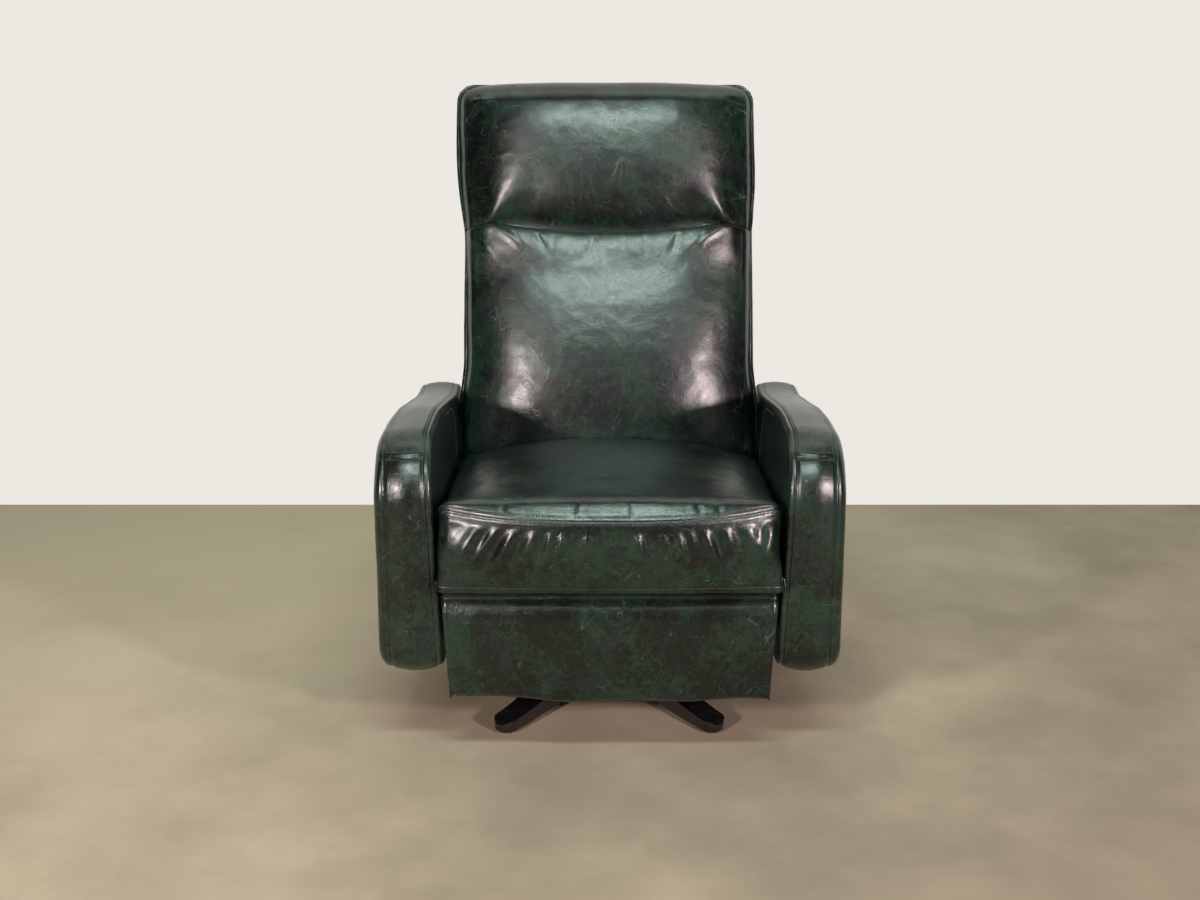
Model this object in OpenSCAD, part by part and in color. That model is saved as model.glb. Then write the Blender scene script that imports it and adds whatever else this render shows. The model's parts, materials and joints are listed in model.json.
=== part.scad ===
// Swivel recliner on a five-armed star base.
// The front of the chair faces -Y, +Z is up, and the origin is on the floor under the swivel post.

/* [Seat] */
// Width of the seat cushion between the arms
seat_w = 566; // [520:1:620]
// Distance from the swivel axis forward to the middle of the seat's front seam
seat_front = 434; // [410:1:470]
// Height of the underside of the seat cushion above the floor
seat_under = 331; // [322:1:360]
// Height of the seat's boxing from its underside to the front seam
seat_boxing = 125; // [100:1:150]
// Rise of the seat's crown above the line between its seams
seat_crown = 24; // [10:1:34]
// How far the middle of the front seam stands ahead of its ends
seat_bow = 43; // [20:1:55]

/* [Arms] */
// Thickness of an arm from its inner face to the crown of its outer panel
arm_w = 103; // [80:1:130]
// Height of an arm from its underside to its crest
arm_h = 404; // [360:1:440]
// Length of an arm from its front to its rear end
arm_l = 650; // [600:1:700]
// Drop from the seat's front seam down to the underside of an arm
arm_drop = 284; // [250:1:320]
// Gap between the seat cushion and an arm at the height of the seam
arm_gap = 10; // [6:1:20]
// Angle at which the arms lean in towards the floor
arm_lean = 2; // [0:0.1:3]
// Radius of the big curve over the front of an arm
arm_nose_r = 104; // [70:1:130]
// Thickness of the plywood panel inside an arm
arm_ply = 15; // [10:1:20]

/* [Back] */
// Lean of the back when it is upright
back_lean = 15; // [10:0.5:18]
// How much narrower than the seat each side of the back is between the arms
back_tuck = 11; // [9:1:30]
// How much wider than the seat each side of the headrest is at its top
head_flare = 3; // [-15:1:15]
// Distance from the hinge forward to the face of the back
back_face = 74; // [60:1:74]
// Distance from the hinge rearward to the outside of the back
back_rear = 98.3; // [90:0.1:130]
// Height along the back at which the headrest folds
crease_w = 495; // [450:1:540]
// Height of the headrest above its fold
head_h = 285; // [240:1:330]
// Rise of the back cushion's crown
back_crown = 9; // [4:1:14]
// Rise of the head pillow's crown
head_crown = 14; // [6:1:20]

/* [Footrest] */
// Height of the footrest panel
panel_h = 189; // [170:1:196]
// How much each side of the footrest panel draws in from its top to its bottom
panel_taper = 11; // [0:1:25]
// Thickness of the footrest's pad
pad_t = 28; // [20:1:34]

/* [Star base] */
// Radius of the star from the swivel axis to the tips of its arms
star_r = 336; // [290:1:360]
// Number of arms of the star
star_arms = 5; // [5:1:6]
// Height of the star's hub
hub_h = 85; // [78:1:100]
// Radius of the star's hub
hub_r = 62; // [52:1:70]
// Width of a star arm at its tip
tip_w = 46; // [34:1:52]
// Width of a star arm at its root
root_w = 60; // [50:1:66]
// Wall of the star casting
star_wall = 5; // [4:0.5:7]

/* [Swivel bearing] */
// Radius of the circle on which the balls run
race_r = 78; // [72:1:86]
// Radius of a bearing ball
ball_r = 6; // [4.5:0.5:7]
// Number of bearing balls
balls = 16; // [12:1:20]
// Radius of the swivel post
post_r = 12; // [10:0.5:14]
// Thickness of the swivel plates
swivel_t = 4; // [4:0.5:6]

/* [Chassis] */
// Thickness of the steel side plates
plate_t = 3; // [2.5:0.1:4]
// Height of a cross beam
beam_h = 25; // [20:1:30]
// Depth of a cross beam from front to rear
beam_d = 50; // [40:1:60]
// Distance from the swivel axis to the middle of a cross beam
beam_y = 90; // [80:1:100]
// Height of the wooden seat rails
rail_h = 22; // [18:1:24]
// Number of seat springs
springs = 5; // [4:1:6]
// Radius of the seat springs' wire
wire_r = 1.9; // [1.5:0.1:2.2]

/* [Linkage] */
// Thickness of a footrest link
link_t = 3; // [2.5:0.1:3.5]
// Gap between neighbouring layers of links
link_gap = 1.5; // [1.4:0.1:2.5]
// Width of a footrest link
link_w = 19; // [16:1:20]
// Radius of a link pin
pin_r = 4; // [3:0.5:4.5]
// Radius of the shaft that joins the two front links
shaft_r = 9; // [7:0.5:10]

/* [Hidden] */
$fn = 40;

// Overrun of every cut
cut = 2;
// Gap between pieces that seat on each other
seat_gap = 0.3;
// Radial clearance of a shaft that turns in its bore
run = 0.05;
// Extra radial clearance at the two pivots that close the linkage
loose = 0.7;

leather = [0.05, 0.14, 0.10];
steel = [0.55, 0.57, 0.60];
black = [0.05, 0.05, 0.06];
wood = [0.72, 0.56, 0.36];
zinc = [0.75, 0.75, 0.72];

// Levels of the seat and the sides
seat_half = seat_w / 2;
seat_top = seat_under + seat_boxing;
arm_in = seat_half + arm_gap;
back_half = seat_half - back_tuck;
head_half = seat_half + head_flare;
panel_low_half = seat_half - panel_taper;
arm_low = seat_top - arm_drop;
arm_crest = arm_low + arm_h;

// Levels of the swivel, from the floor up
glide_h = 6;
glide_r = 17;
race_gap = 1.55 * ball_r;
groove_clear = 0.1;
swivel_low = hub_h;
ball_z = swivel_low + swivel_t + race_gap / 2;
swivel_high = swivel_low + swivel_t + race_gap;
beam_z = swivel_high + swivel_t;

// Side plates and the layers of links outside them
plate_inset = 25;
plate_in = seat_half - plate_inset;
plate_out = plate_in + plate_t;
function layer(k) = plate_out + link_gap + k * (link_t + link_gap);
links_out = layer(2) + link_t;
head_t = link_gap - 2 * seat_gap;
cap_t = 2.5;
head_rim = 3;
head_r = pin_r + head_rim;

// Pivots of the footrest linkage in the side view, as [y, z], with the footrest closed.
// The shaft turns at b and the rear link at a; d and e join the front link to the two long links,
// c joins the rear link to the upper link, and f and g carry the footrest bracket.
shaft_back = 284;
shaft_drop = 46;
step_a = [18, -45];
step_d = [144, -74.4];
step_e = [145, -133];
step_c = [176.2, -135];
step_f = [-195, 10];
step_g = [-195, -49.6];
pivot_b = [shaft_back - seat_front, seat_under - shaft_drop];
pivot_a = pivot_b + step_a;
pivot_c = pivot_b + step_c;
pivot_d = pivot_b + step_d;
pivot_e = pivot_b + step_e;
pivot_f = pivot_b + step_f;
pivot_g = pivot_b + step_g;

// Hinge of the back in the side view
hinge_y = 150;
hinge_rise = 14;
hinge = [hinge_y, seat_under + hinge_rise];

function unit(v) = v / norm(v);
function outward(v) = unit([v.y, -v.x]);
function mix(a, b, t) = a + (b - a) * t;
function ease(t) = t * t * (3 - 2 * t);
function clamped(t) = max(0, min(1, t));

// Arc that rounds the corner b between a and c of an outline that runs anticlockwise
function arc(a, b, c, r, steps) =
    let (u = unit(a - b), v = unit(c - b), half = acos(u * v) / 2,
        side = cross(b - a, c - b) > 0 ? 1 : -1, mid = b + unit(u + v) * r / sin(half),
        n = outward(b - a), start = atan2(n.y, n.x), sweep = side * (180 - 2 * half))
    [for (i = [0:steps]) let (t = start + sweep * i / steps) mid + side * r * [cos(t), sin(t)]];

// Outline through corners that are given as [y, z, radius]
function rounded(corners, steps) =
    let (n = len(corners), flat = [for (c = corners) [c.x, c.y]])
    [for (i = [0:n - 1]) each
        arc(flat[(i + n - 1) % n], flat[i], flat[(i + 1) % n], corners[i].z, steps)];

// Outline drawn in by a distance along its own normals
function inset(ring, d) =
    let (n = len(ring))
    [for (i = [0:n - 1]) ring[i] - d * outward(ring[(i + 1) % n] - ring[(i + n - 1) % n])];

// Outline shrunk towards a centre by a share in each direction
function shrunk(ring, centre, shares) =
    [for (p = ring) centre + [(p.x - centre.x) * shares.x, (p.y - centre.y) * shares.y]];

// Outline drawn in everywhere but at its rear plane
function drawn_in(ring, d, rear) =
    let (near = inset(ring, d))
    [for (i = [0:len(ring) - 1]) [ring[i].x >= rear ? rear : near[i].x, near[i].y]];

// Closed solid through a row of rings that all have the same number of points
module loft(rings) {
    n = len(rings[0]);
    m = len(rings);
    last = (m - 1) * n;
    last_pair = ceil(n / 2) - 2;
    points = [for (r = rings) each r];
    walls = [for (k = [0:m - 2]) for (i = [0:n - 1])
        let (a = k * n + i, b = k * n + (i + 1) % n) each [[a, b, a + n], [b, b + n, a + n]]];
    ends = [for (i = [0:last_pair]) let (a = i, b = i + 1, c = n - 2 - i, d = n - 1 - i)
        each concat([[a, d, c], [last + a, last + c, last + d]],
            b == c ? [] : [[a, c, b], [last + a, last + b, last + c]])];
    polyhedron(points, concat(walls, ends), convexity = 8);
}

// Flat piece drawn in the side view, from x outwards by its thickness
module side_piece(x, t) {
    translate([x, 0, 0]) rotate([90, 0, 90]) linear_extrude(t) children();
}

// Round bar across the chair at a place of the side view
module cross_bar(p, x, l, r) {
    translate([x, p.x, p.y]) rotate([0, 90, 0]) cylinder(r = r, h = l);
}

module both_sides() {
    children();
    mirror([1, 0, 0]) children();
}

// Strip between two points of the side view
module strip(a, b, w) {
    across = w / 2 * outward(b - a);
    polygon([a - across, a + across, b + across, b - across]);
}

// Stamped link through a row of pivots, drilled at each of them
module link(points, x, bores) {
    side_piece(x, link_t) difference() {
        union() {
            for (p = points) translate(p) circle(link_w / 2);
            for (i = [1:len(points) - 1]) strip(points[i - 1], points[i], link_w * link_strip_share);
        }
        for (i = [0:len(points) - 1]) translate(points[i]) circle(bores[i]);
    }
}
link_strip_share = 0.9;

// Star base
tip_h = 25;
tip_nose = 12;
tip_lift = glide_h;
arch_rise = 40;
root_step = 3;
root_h = hub_h - root_step;
glide_ring = star_r - tip_w / 2;
star_turn = 90;

// Side outline of one star arm: a top that sweeps down to a round nose, and an arched underside
function nose_drop(x) = let (over = max(0, x + tip_nose - star_r))
    tip_nose - sqrt(tip_nose * tip_nose - over * over);
function arm_top_z(x) = mix(root_h, tip_h, ease(x / star_r)) - nose_drop(x);
function arm_low_z(x) = tip_lift + (arch_rise - tip_lift) * (1 - x / star_r) * (1 - x / star_r);
function star_stations(steps) = concat(
    [for (i = [0:steps]) (star_r - tip_nose) * i / steps],
    [for (angle = [22.5:22.5:90]) star_r - tip_nose + tip_nose * sin(angle)]);
module star_side(wall) {
    along = star_stations(12);
    last = len(along) - 1;
    polygon(concat(
        [for (x = along) [x, arm_low_z(x) - 2 * wall]],
        [for (i = [last:-1:0]) [along[i], arm_top_z(along[i]) - wall]]));
}
module star_plan(wall) {
    root = root_w / 2 - wall;
    tip = tip_w / 2 - wall;
    polygon([[0, -root], [glide_ring, -tip], [glide_ring, tip], [0, root]]);
    translate([glide_ring, 0]) circle(tip);
}
module star_arm(wall) {
    intersection() {
        translate([0, root_w, 0]) rotate([90, 0, 0]) linear_extrude(2 * root_w) star_side(wall);
        linear_extrude(hub_h) star_plan(wall);
    }
}
module each_star_arm() {
    for (i = [0:star_arms - 1]) rotate([0, 0, star_turn + i * 360 / star_arms]) children();
}
screw_ring = 40;
screw_r = 3;
boss_r = 9;
module star_base() {
    color(black) difference() {
        union() {
            each_star_arm() star_arm(0);
            translate([0, 0, arch_rise]) cylinder(r = hub_r, h = hub_h - arch_rise);
        }
        each_star_arm() intersection() {
            star_arm(star_wall);
            translate([hub_r, -root_w, -cut]) cube([glide_ring - hub_r - boss_r, 2 * root_w, hub_h]);
        }
        each_star_arm() translate([glide_ring, 0, -cut]) cylinder(r = stem_r + run, h = stem_h + cut);
        translate([0, 0, -cut]) cylinder(r = post_r + run, h = hub_h + 2 * cut);
        translate([0, 0, -cut]) cylinder(r = foot_r + run, h = arch_rise + foot_t + cut);
        for (i = [0:3]) rotate([0, 0, i * 90]) translate([screw_ring, 0, hub_h - screw_l])
            cylinder(r = screw_r + run, h = screw_l + cut);
    }
}
stem_r = 5;
stem_h = 20;
screw_l = 22;
foot_r = 24;
foot_t = 6;

// Glides that the star stands on, pressed into the tips of its arms
module floor_glides() {
    color(black) each_star_arm() translate([glide_ring, 0, 0]) {
        rotate_extrude() polygon([[0, 0], [glide_r - glide_edge, 0], [glide_r, glide_edge],
            [glide_r, glide_h - glide_edge], [glide_r - glide_edge, glide_h], [0, glide_h]]);
        cylinder(r = stem_r, h = stem_h - seat_gap);
    }
}
glide_edge = 1.5;

// Swivel bearing
swivel_half = 105;
swivel_corner = 18;
module swivel_sheet(z, t) {
    c = swivel_half - swivel_corner;
    translate([0, 0, z]) linear_extrude(t) union() {
        square([2 * swivel_half, 2 * c], center = true);
        square([2 * c, 2 * swivel_half], center = true);
        for (x = [-c, c], y = [-c, c]) translate([x, y]) circle(swivel_corner);
    }
}
module race_groove() {
    translate([0, 0, ball_z]) rotate_extrude() translate([race_r, 0]) circle(ball_r + groove_clear);
}
module lower_swivel_plate() {
    color(steel) difference() {
        swivel_sheet(swivel_low, swivel_t);
        race_groove();
        translate([0, 0, -cut]) cylinder(r = post_r + run, h = 2 * hub_h);
        for (i = [0:3]) rotate([0, 0, i * 90]) translate([screw_ring, 0, swivel_low]) {
            translate([0, 0, -cut]) cylinder(r = screw_r + run, h = swivel_t + 2 * cut);
            translate([0, 0, swivel_t - sink_h])
                cylinder(r1 = screw_r + run, r2 = sink_r + run, h = sink_h + run);
        }
    }
}
sink_h = 3;
sink_r = 6;
module upper_swivel_plate() {
    color(steel) difference() {
        swivel_sheet(swivel_high, swivel_t);
        race_groove();
        translate([0, 0, -cut]) cylinder(r = post_r + run, h = 2 * hub_h);
        for (x = [-1, 1], y = [-1, 1]) translate([x * beam_bolt_x, y * beam_y, swivel_high - cut])
            cylinder(r = bolt_r + run, h = swivel_t + 2 * cut);
    }
}
beam_bolt_x = 80;
bolt_r = 4;
bolt_head_r = 7;
bolt_head_h = 4;
cage_t = 3;
cage_w = 9;
module ball_cage() {
    color(zinc) translate([0, 0, ball_z - cage_t / 2]) difference() {
        cylinder(r = race_r + ball_r + cage_w, h = cage_t);
        translate([0, 0, -cut]) cylinder(r = race_r - ball_r - cage_w, h = cage_t + 2 * cut);
        for (i = [0:balls - 1]) rotate([0, 0, i * 360 / balls]) translate([race_r, 0, -cut])
            cylinder(r = ball_r + groove_clear, h = cage_t + 2 * cut);
    }
}
module bearing_balls() {
    color(zinc) for (i = [0:balls - 1]) rotate([0, 0, i * 360 / balls])
        translate([race_r, 0, ball_z]) sphere(ball_r);
}
nut_h = 9;
nut_r = 20;
washer_t = 2;
post_proud = 3;
post_top = beam_z + washer_t + nut_h + post_proud;
nut_share = 0.85;
module pivot_post() {
    color(steel) {
        translate([0, 0, arch_rise]) cylinder(r = post_r, h = post_top - arch_rise);
        translate([0, 0, arch_rise]) cylinder(r = foot_r, h = foot_t - seat_gap);
    }
}
module base_fasteners() {
    color(zinc) {
        for (i = [0:3]) rotate([0, 0, i * 90]) translate([screw_ring, 0, 0]) {
            translate([0, 0, hub_h - screw_l + seat_gap])
                cylinder(r = screw_r, h = screw_l + swivel_t - sink_h - seat_gap);
            translate([0, 0, hub_h + swivel_t - sink_h])
                cylinder(r1 = screw_r, r2 = sink_r, h = sink_h);
        }
        difference() {
            union() {
                translate([0, 0, beam_z + seat_gap]) cylinder(r = nut_r, h = washer_t);
                translate([0, 0, beam_z + washer_t + seat_gap])
                    cylinder(r = nut_r * nut_share, h = nut_h, $fn = 6);
            }
            cylinder(r = post_r + run, h = 2 * post_top);
        }
    }
}

// Cross beams, hollow steel tube
beam_wall = 2.5;
beam_half = plate_in - seat_gap;
module cross_beam(y) {
    color(black) difference() {
        translate([-beam_half, y - beam_d / 2, beam_z]) cube([2 * beam_half, beam_d, beam_h]);
        translate([-beam_half - cut, y - beam_d / 2 + beam_wall, beam_z + beam_wall])
            cube([2 * (beam_half + cut), beam_d - 2 * beam_wall, beam_h - 2 * beam_wall]);
        for (x = [-beam_half + tab_bolt, -beam_bolt_x, beam_bolt_x, beam_half - tab_bolt])
            translate([x, y, beam_z - cut]) cylinder(r = bolt_r + run, h = beam_h + 2 * cut);
    }
}
module front_cross_beam() { cross_beam(-beam_y); }
module rear_cross_beam() { cross_beam(beam_y); }
tab_bolt = 20;
tab_w = 40;

// Side plates
rail_d = 30;
rail_inset = 21;
rail_setback = 104;
front_rail_y = -seat_front + rail_setback;
rear_rail_y = hinge_y - back_face - rail_inset - rail_d;
spring_room = 6;
rail_top = seat_under - spring_room;
rail_z = rail_top - rail_h;
plate_lead = 5;
plate_front = front_rail_y - plate_lead;
plate_low = beam_z - plate_t;
plate_h = rail_top - plate_low;
plate_overhang = 22;
plate_tail = hinge_y + plate_overhang;
plate_l = plate_tail - plate_front;
hinge_room = 55;
corner_r = 20;
edge_r = 10;
function plate_at(share) = [plate_front + share.x * plate_l, plate_low + share.y * plate_h];
chin_share = [0, 0.64];
keel_share = [0.08, 0.14];
tail_share = 0.42;
shoulder_share = 0.51;
function side_outline() = rounded([
    [plate_at(keel_share).x, plate_at(keel_share).y, corner_r],
    [-beam_y - beam_d, plate_low, corner_r], [plate_tail, plate_low, corner_r],
    [plate_tail, plate_low + tail_share * plate_h, corner_r],
    [hinge_y - hinge_room, plate_low + shoulder_share * plate_h, corner_r],
    [hinge_y - hinge_room, rail_top, edge_r], [plate_front, rail_top, edge_r],
    [plate_front, plate_at(chin_share).y, corner_r]], 4);
// Rounded slots that lighten a side plate: middle, length and half width in shares of the plate
side_slot_shares = [[0.21, 0.40, 0.14, 0.076], [0.54, 0.32, 0.10, 0.08], [0.72, 0.67, 0.08, 0.062],
    [0.25, 0.68, 0.08, 0.054], [0.70, 0.32, 0.05, 0.08]];
module round_slot(c, l, r, a) {
    translate(c) rotate(a) {
        square([l, 2 * r], center = true);
        for (x = [-l / 2, l / 2]) translate([x, 0]) circle(r);
    }
}
// Bolts through spacers that carry the arms and the hinge ears
arm_bolt_shares = [[0.10, 0.925], [0.54, 0.91], [0.73, 0.82]];
arm_bolts_at = [for (s = arm_bolt_shares) plate_at(s)];
ear_reach = 72;
ear_bolt_back = 35;
ear_bolt_share = 0.57;
ear_foot = 45;
ear_bolt_at = [hinge_y - ear_bolt_back, plate_low + ear_bolt_share * plate_h];
ear_posts_at = [[hinge_y - ear_reach, rail_z - ear_foot + cap_t],
    [hinge_y - ear_reach, plate_low + ear_foot], [hinge_y, plate_low + ear_foot]];
module side_plate() {
    difference() {
        union() {
            side_piece(plate_in, plate_t) difference() {
                polygon(side_outline());
                translate(pivot_b) circle(shaft_r + run);
                translate(pivot_a) circle(pin_r + run);
                for (p = concat(arm_bolts_at, ear_posts_at)) translate(p) circle(bolt_r + run);
                for (s = side_slot_shares)
                    round_slot(plate_at(s), s[2] * plate_l, s[3] * plate_h, 0);
            }
            for (y = [-beam_y, beam_y]) translate([plate_in - tab_w, y - beam_d / 2, plate_low])
                cube([tab_w + plate_t, beam_d, plate_t]);
            for (y = [front_rail_y, rear_rail_y])
                translate([plate_in - tab_w, y, rail_z - plate_t]) cube([tab_w + plate_t, rail_d, plate_t]);
        }
        for (y = [-beam_y, beam_y]) translate([beam_half - tab_bolt, y, plate_low - cut])
            cylinder(r = bolt_r + run, h = plate_t + 2 * cut);
        for (y = [front_rail_y, rear_rail_y])
            translate([beam_half - tab_bolt, y + rail_d / 2, rail_z - plate_t - cut])
                cylinder(r = bolt_r + run, h = plate_t + 2 * cut);
    }
}
module left_side_plate() { color(black) side_plate(); }
module right_side_plate() { color(black) mirror([1, 0, 0]) side_plate(); }

module down_bolt(x, y, low, high) {
    translate([x, y, low]) cylinder(r = bolt_r, h = high - low);
    translate([x, y, high]) cylinder(r = bolt_head_r, h = bolt_head_h);
}
module chassis_bolts() {
    color(zinc) for (y = [-beam_y, beam_y]) {
        for (x = [-beam_bolt_x, beam_bolt_x]) down_bolt(x, y, swivel_high, beam_z + beam_h);
        for (x = [-1, 1]) down_bolt(x * (beam_half - tab_bolt), y, plate_low, beam_z + beam_h);
    }
    color(zinc) for (y = [front_rail_y, rear_rail_y]) for (x = [-1, 1])
        translate([x * (beam_half - tab_bolt), y + rail_d / 2, 0]) {
            translate([0, 0, rail_z - plate_t]) cylinder(r = bolt_r, h = plate_t + lag_l);
            translate([0, 0, rail_z - plate_t - bolt_head_h]) cylinder(r = bolt_head_r, h = bolt_head_h);
        }
}
lag_l = 14;

// Seat rails and springs
module seat_rail(y) {
    color(wood) difference() {
        translate([-beam_half, y, rail_z]) cube([2 * beam_half, rail_d, rail_h]);
        for (x = [-1, 1]) translate([x * (beam_half - tab_bolt), y + rail_d / 2, rail_z - cut])
            cylinder(r = bolt_r + run, h = lag_l + cut + seat_gap);
    }
}
module front_seat_rail() { seat_rail(front_rail_y); }
module rear_seat_rail() { seat_rail(rear_rail_y); }

spring_drop = 0.6;
spring_z = seat_under - seat_gap - wire_r - spring_drop;
spring_half_w = 22;
spring_turns = 7;
spring_steps = 6;
spring_start = front_rail_y + rail_d / 2;
spring_end = rear_rail_y + rail_d / 2;
function spring_x(i) = (i + 0.5 - springs / 2) * 2 * (beam_half - tab_w) / springs;
// Zigzag of a flat spring: straight in its clips and bowed from side to side between them
function zigzag(s) =
    let (y = mix(spring_start, spring_end, s), free = min(y - spring_start, spring_end - y) - clip_d)
    [spring_half_w * sin(360 * spring_turns * s) * clamped(free / clip_d), y, spring_z];
module spring(x) {
    steps = spring_turns * spring_steps;
    sides = 6;
    loft([for (i = [0:steps]) let (p = zigzag(i / steps),
            d = zigzag(min(1, (i + 0.5) / steps)) - zigzag(max(0, (i - 0.5) / steps)),
            n = outward([d.x, d.y]))
        [for (k = [0:sides - 1]) let (a = 360 * k / sides + 30)
            [x + p.x + n.x * wire_r * cos(a), p.y + n.y * wire_r * cos(a), p.z + wire_r * sin(a)]]]);
}
module seat_springs() {
    color(steel) for (i = [0:springs - 1]) spring(spring_x(i));
}
clip_w = 16;
clip_d = 18;
module spring_clips() {
    color(zinc) for (i = [0:springs - 1]) for (y = [spring_start, spring_end - clip_d])
        translate([spring_x(i) - clip_w / 2, y, rail_top]) difference() {
            cube([clip_w, clip_d, seat_under - seat_gap - rail_top]);
            translate([clip_w / 2 - clip_slot / 2, -cut, spring_z - wire_r - seat_gap - rail_top])
                cube([clip_slot, clip_d + 2 * cut, seat_under]);
        }
}
clip_slot = 11;

// Seat cushion: rings in the side view, bowed in front, crowned on top
seat_back_gap = 14;
seat_rear_slope = 28;
seat_rear_low = hinge_y - back_face - seat_back_gap;
seat_rear_top = seat_rear_low + seat_rear_slope;
seat_rear_drop = 14;
seat_rear_rise = seat_boxing - seat_rear_drop;
seat_tuck = 32;
seat_under_front = seat_front - seat_tuck;
seat_bulge = 9;
seat_dip = 11;
seat_flare = 8;
front_steps = 6;
top_steps = 11;
rear_steps = 3;
seam_drop = 5;
function seat_ring(u) =
    let (low_f = [-seat_under_front, seat_under], q = u * u,
        top_f = [-seat_front + seat_bow * q, seat_top + seat_dip * q],
        top_r = [seat_rear_top, seat_under + seat_rear_rise], low_r = [seat_rear_low, seat_under])
    concat(
        [for (i = [1:rear_steps]) mix(low_r, top_r, i / rear_steps * 0.94)],
        [for (i = [0:top_steps]) let (t = i / top_steps, p = mix(top_r, top_f, t))
            p + [0, seat_crown * (1 - 0.75 * q * q) * pow(sin(180 * t), 0.7)
                - (t == 0 || t == 1 ? seam_drop : 0)]],
        [for (i = [1:front_steps]) let (t = i / front_steps, p = mix(top_f, low_f, t))
            p - [seat_bulge * sin(180 * min(1, t * 1.05)) * (1 - q * 0.4), 0]]);
flare_start = 14;
flare_run = 10;
function seat_x(p) =
    let (fore = clamped((flare_start - seat_under_front - p.x) / flare_run),
        lift = (p.y - seat_under) / seat_boxing)
    seat_half + fore * seat_flare * (1 - lift * 1.6);
seat_edge = 12;
// Places across a cushion from its end inwards, and how much of its edge is drawn in at each
seat_shares = [[1, 1], [0.99, 0.42], [0.965, 0.08], [0.9, 0], [0.72, 0], [0.48, 0], [0.2, 0]];
function both_ways(rows) = concat([for (r = rows) [for (i = [0:len(r) - 1]) i == 0 ? -r[0] : r[i]]],
    [for (i = [len(rows) - 1:-1:0]) rows[i]]);
module seat_cushion() {
    color(leather) loft([for (s = both_ways(seat_shares))
        [for (p = inset(seat_ring(s[0]), s[1] * seat_edge))
            [s[0] * seat_x(p), p.x, max(p.y, seat_under)]]]);
}

// Arms, drawn upright from their inner face outwards and then leaned in
arm_setback = 37;
arm_fy = -seat_front + arm_setback;
arm_ry = arm_fy + arm_l;
function arm_y(s) = arm_fy + s * arm_l;
function arm_z(s) = arm_low + s * arm_h;
arm_toe_r = 54;
arm_heel_r = 38;
arm_crest_r = 900;
arm_dip_r = 420;
arm_tail_r = 30;
arm_tail_share = 0.925;
arm_dip_share = [0.86, 0.90];
arm_crest_share = 0.36;
function arm_ring() = rounded([
    [arm_fy, arm_low, arm_toe_r], [arm_ry, arm_low, arm_heel_r],
    [arm_ry, arm_z(arm_tail_share), arm_tail_r],
    [arm_y(arm_dip_share.x), arm_z(arm_dip_share.y), arm_dip_r],
    [arm_y(arm_crest_share), arm_crest, arm_crest_r], [arm_fy, arm_crest, arm_nose_r]], 8);
arm_mid = [arm_y(0.5), arm_z(0.47)];
arm_skin = 5;
arm_core = arm_ply + arm_skin;
arm_taper_share = 0.16;
// An arm is thinner towards its rear end, outside the plywood
function arm_out(x, y) = x - max(0, x - arm_core) * arm_taper_share * (y - arm_fy) / arm_l;
arm_edge = 9;
arm_band = 72;
arm_seam = arm_edge + arm_band;
arm_bulge = arm_w - arm_seam;
arm_swell = 1.5;
// The plywood sits in a pocket below the level of the seat
arm_rim = 32;
arm_pocket_h = seat_top - arm_low - 2 * arm_rim + arm_edge;
pocket_share = arm_pocket_h / arm_h;
pocket_mid = [arm_y(0.5), arm_low + arm_rim / (1 - pocket_share)];
function pocket_ring() = shrunk(arm_ring(), pocket_mid, [1 - 2 * arm_rim / arm_l, pocket_share]);
module arm_place() {
    translate([arm_in, 0, seat_top]) rotate([0, arm_lean, 0]) translate([0, 0, -seat_top]) children();
}
// Each row is a place across the arm and how far its outline is drawn in there
arm_rows = [[0, arm_edge], [arm_edge * 0.25, arm_edge * 0.38], [arm_edge, 0],
    [arm_seam * 0.4, -arm_swell], [arm_seam * 0.7, -arm_swell], [arm_seam, 0],
    [arm_seam + arm_bulge * 0.35, arm_bulge * 0.16], [arm_seam + arm_bulge * 0.68, arm_bulge * 0.5],
    [arm_seam + arm_bulge * 0.88, arm_bulge]];
// Outer panel inside the last row: its outline's shares of the arm, then its share of the thickness
dome_shares = [[0.8, 0.72, 0.994], [0.3, 0.2, 1]];
function arm_row(ring, x) = [for (p = ring) [arm_out(x, p.x), p.x, p.y]];
module arm_cover() {
    outline = arm_ring();
    dome = inset(outline, arm_bulge);
    arm_place() loft(concat(
        [arm_row(pocket_ring(), arm_ply + seat_gap), arm_row(pocket_ring(), 0)],
        [for (r = arm_rows) arm_row(inset(outline, r[1]), r[0])],
        [for (d = dome_shares) arm_row(shrunk(dome, arm_mid, [d.x, d.y]), d.z * arm_w)]));
}
module arm_frame() {
    difference() {
        arm_place() side_piece(seat_gap, arm_ply - seat_gap) polygon(inset(pocket_ring(), seat_gap));
        for (p = concat(arm_bolts_at, [ear_bolt_at]))
            cross_bar(p, plate_in, arm_w + plate_inset, bolt_r + run);
    }
}
module left_arm_cover() { color(leather) arm_cover(); }
module right_arm_cover() { color(leather) mirror([1, 0, 0]) arm_cover(); }
module left_arm_frame() { color(wood) arm_frame(); }
module right_arm_frame() { color(wood) mirror([1, 0, 0]) arm_frame(); }

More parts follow.
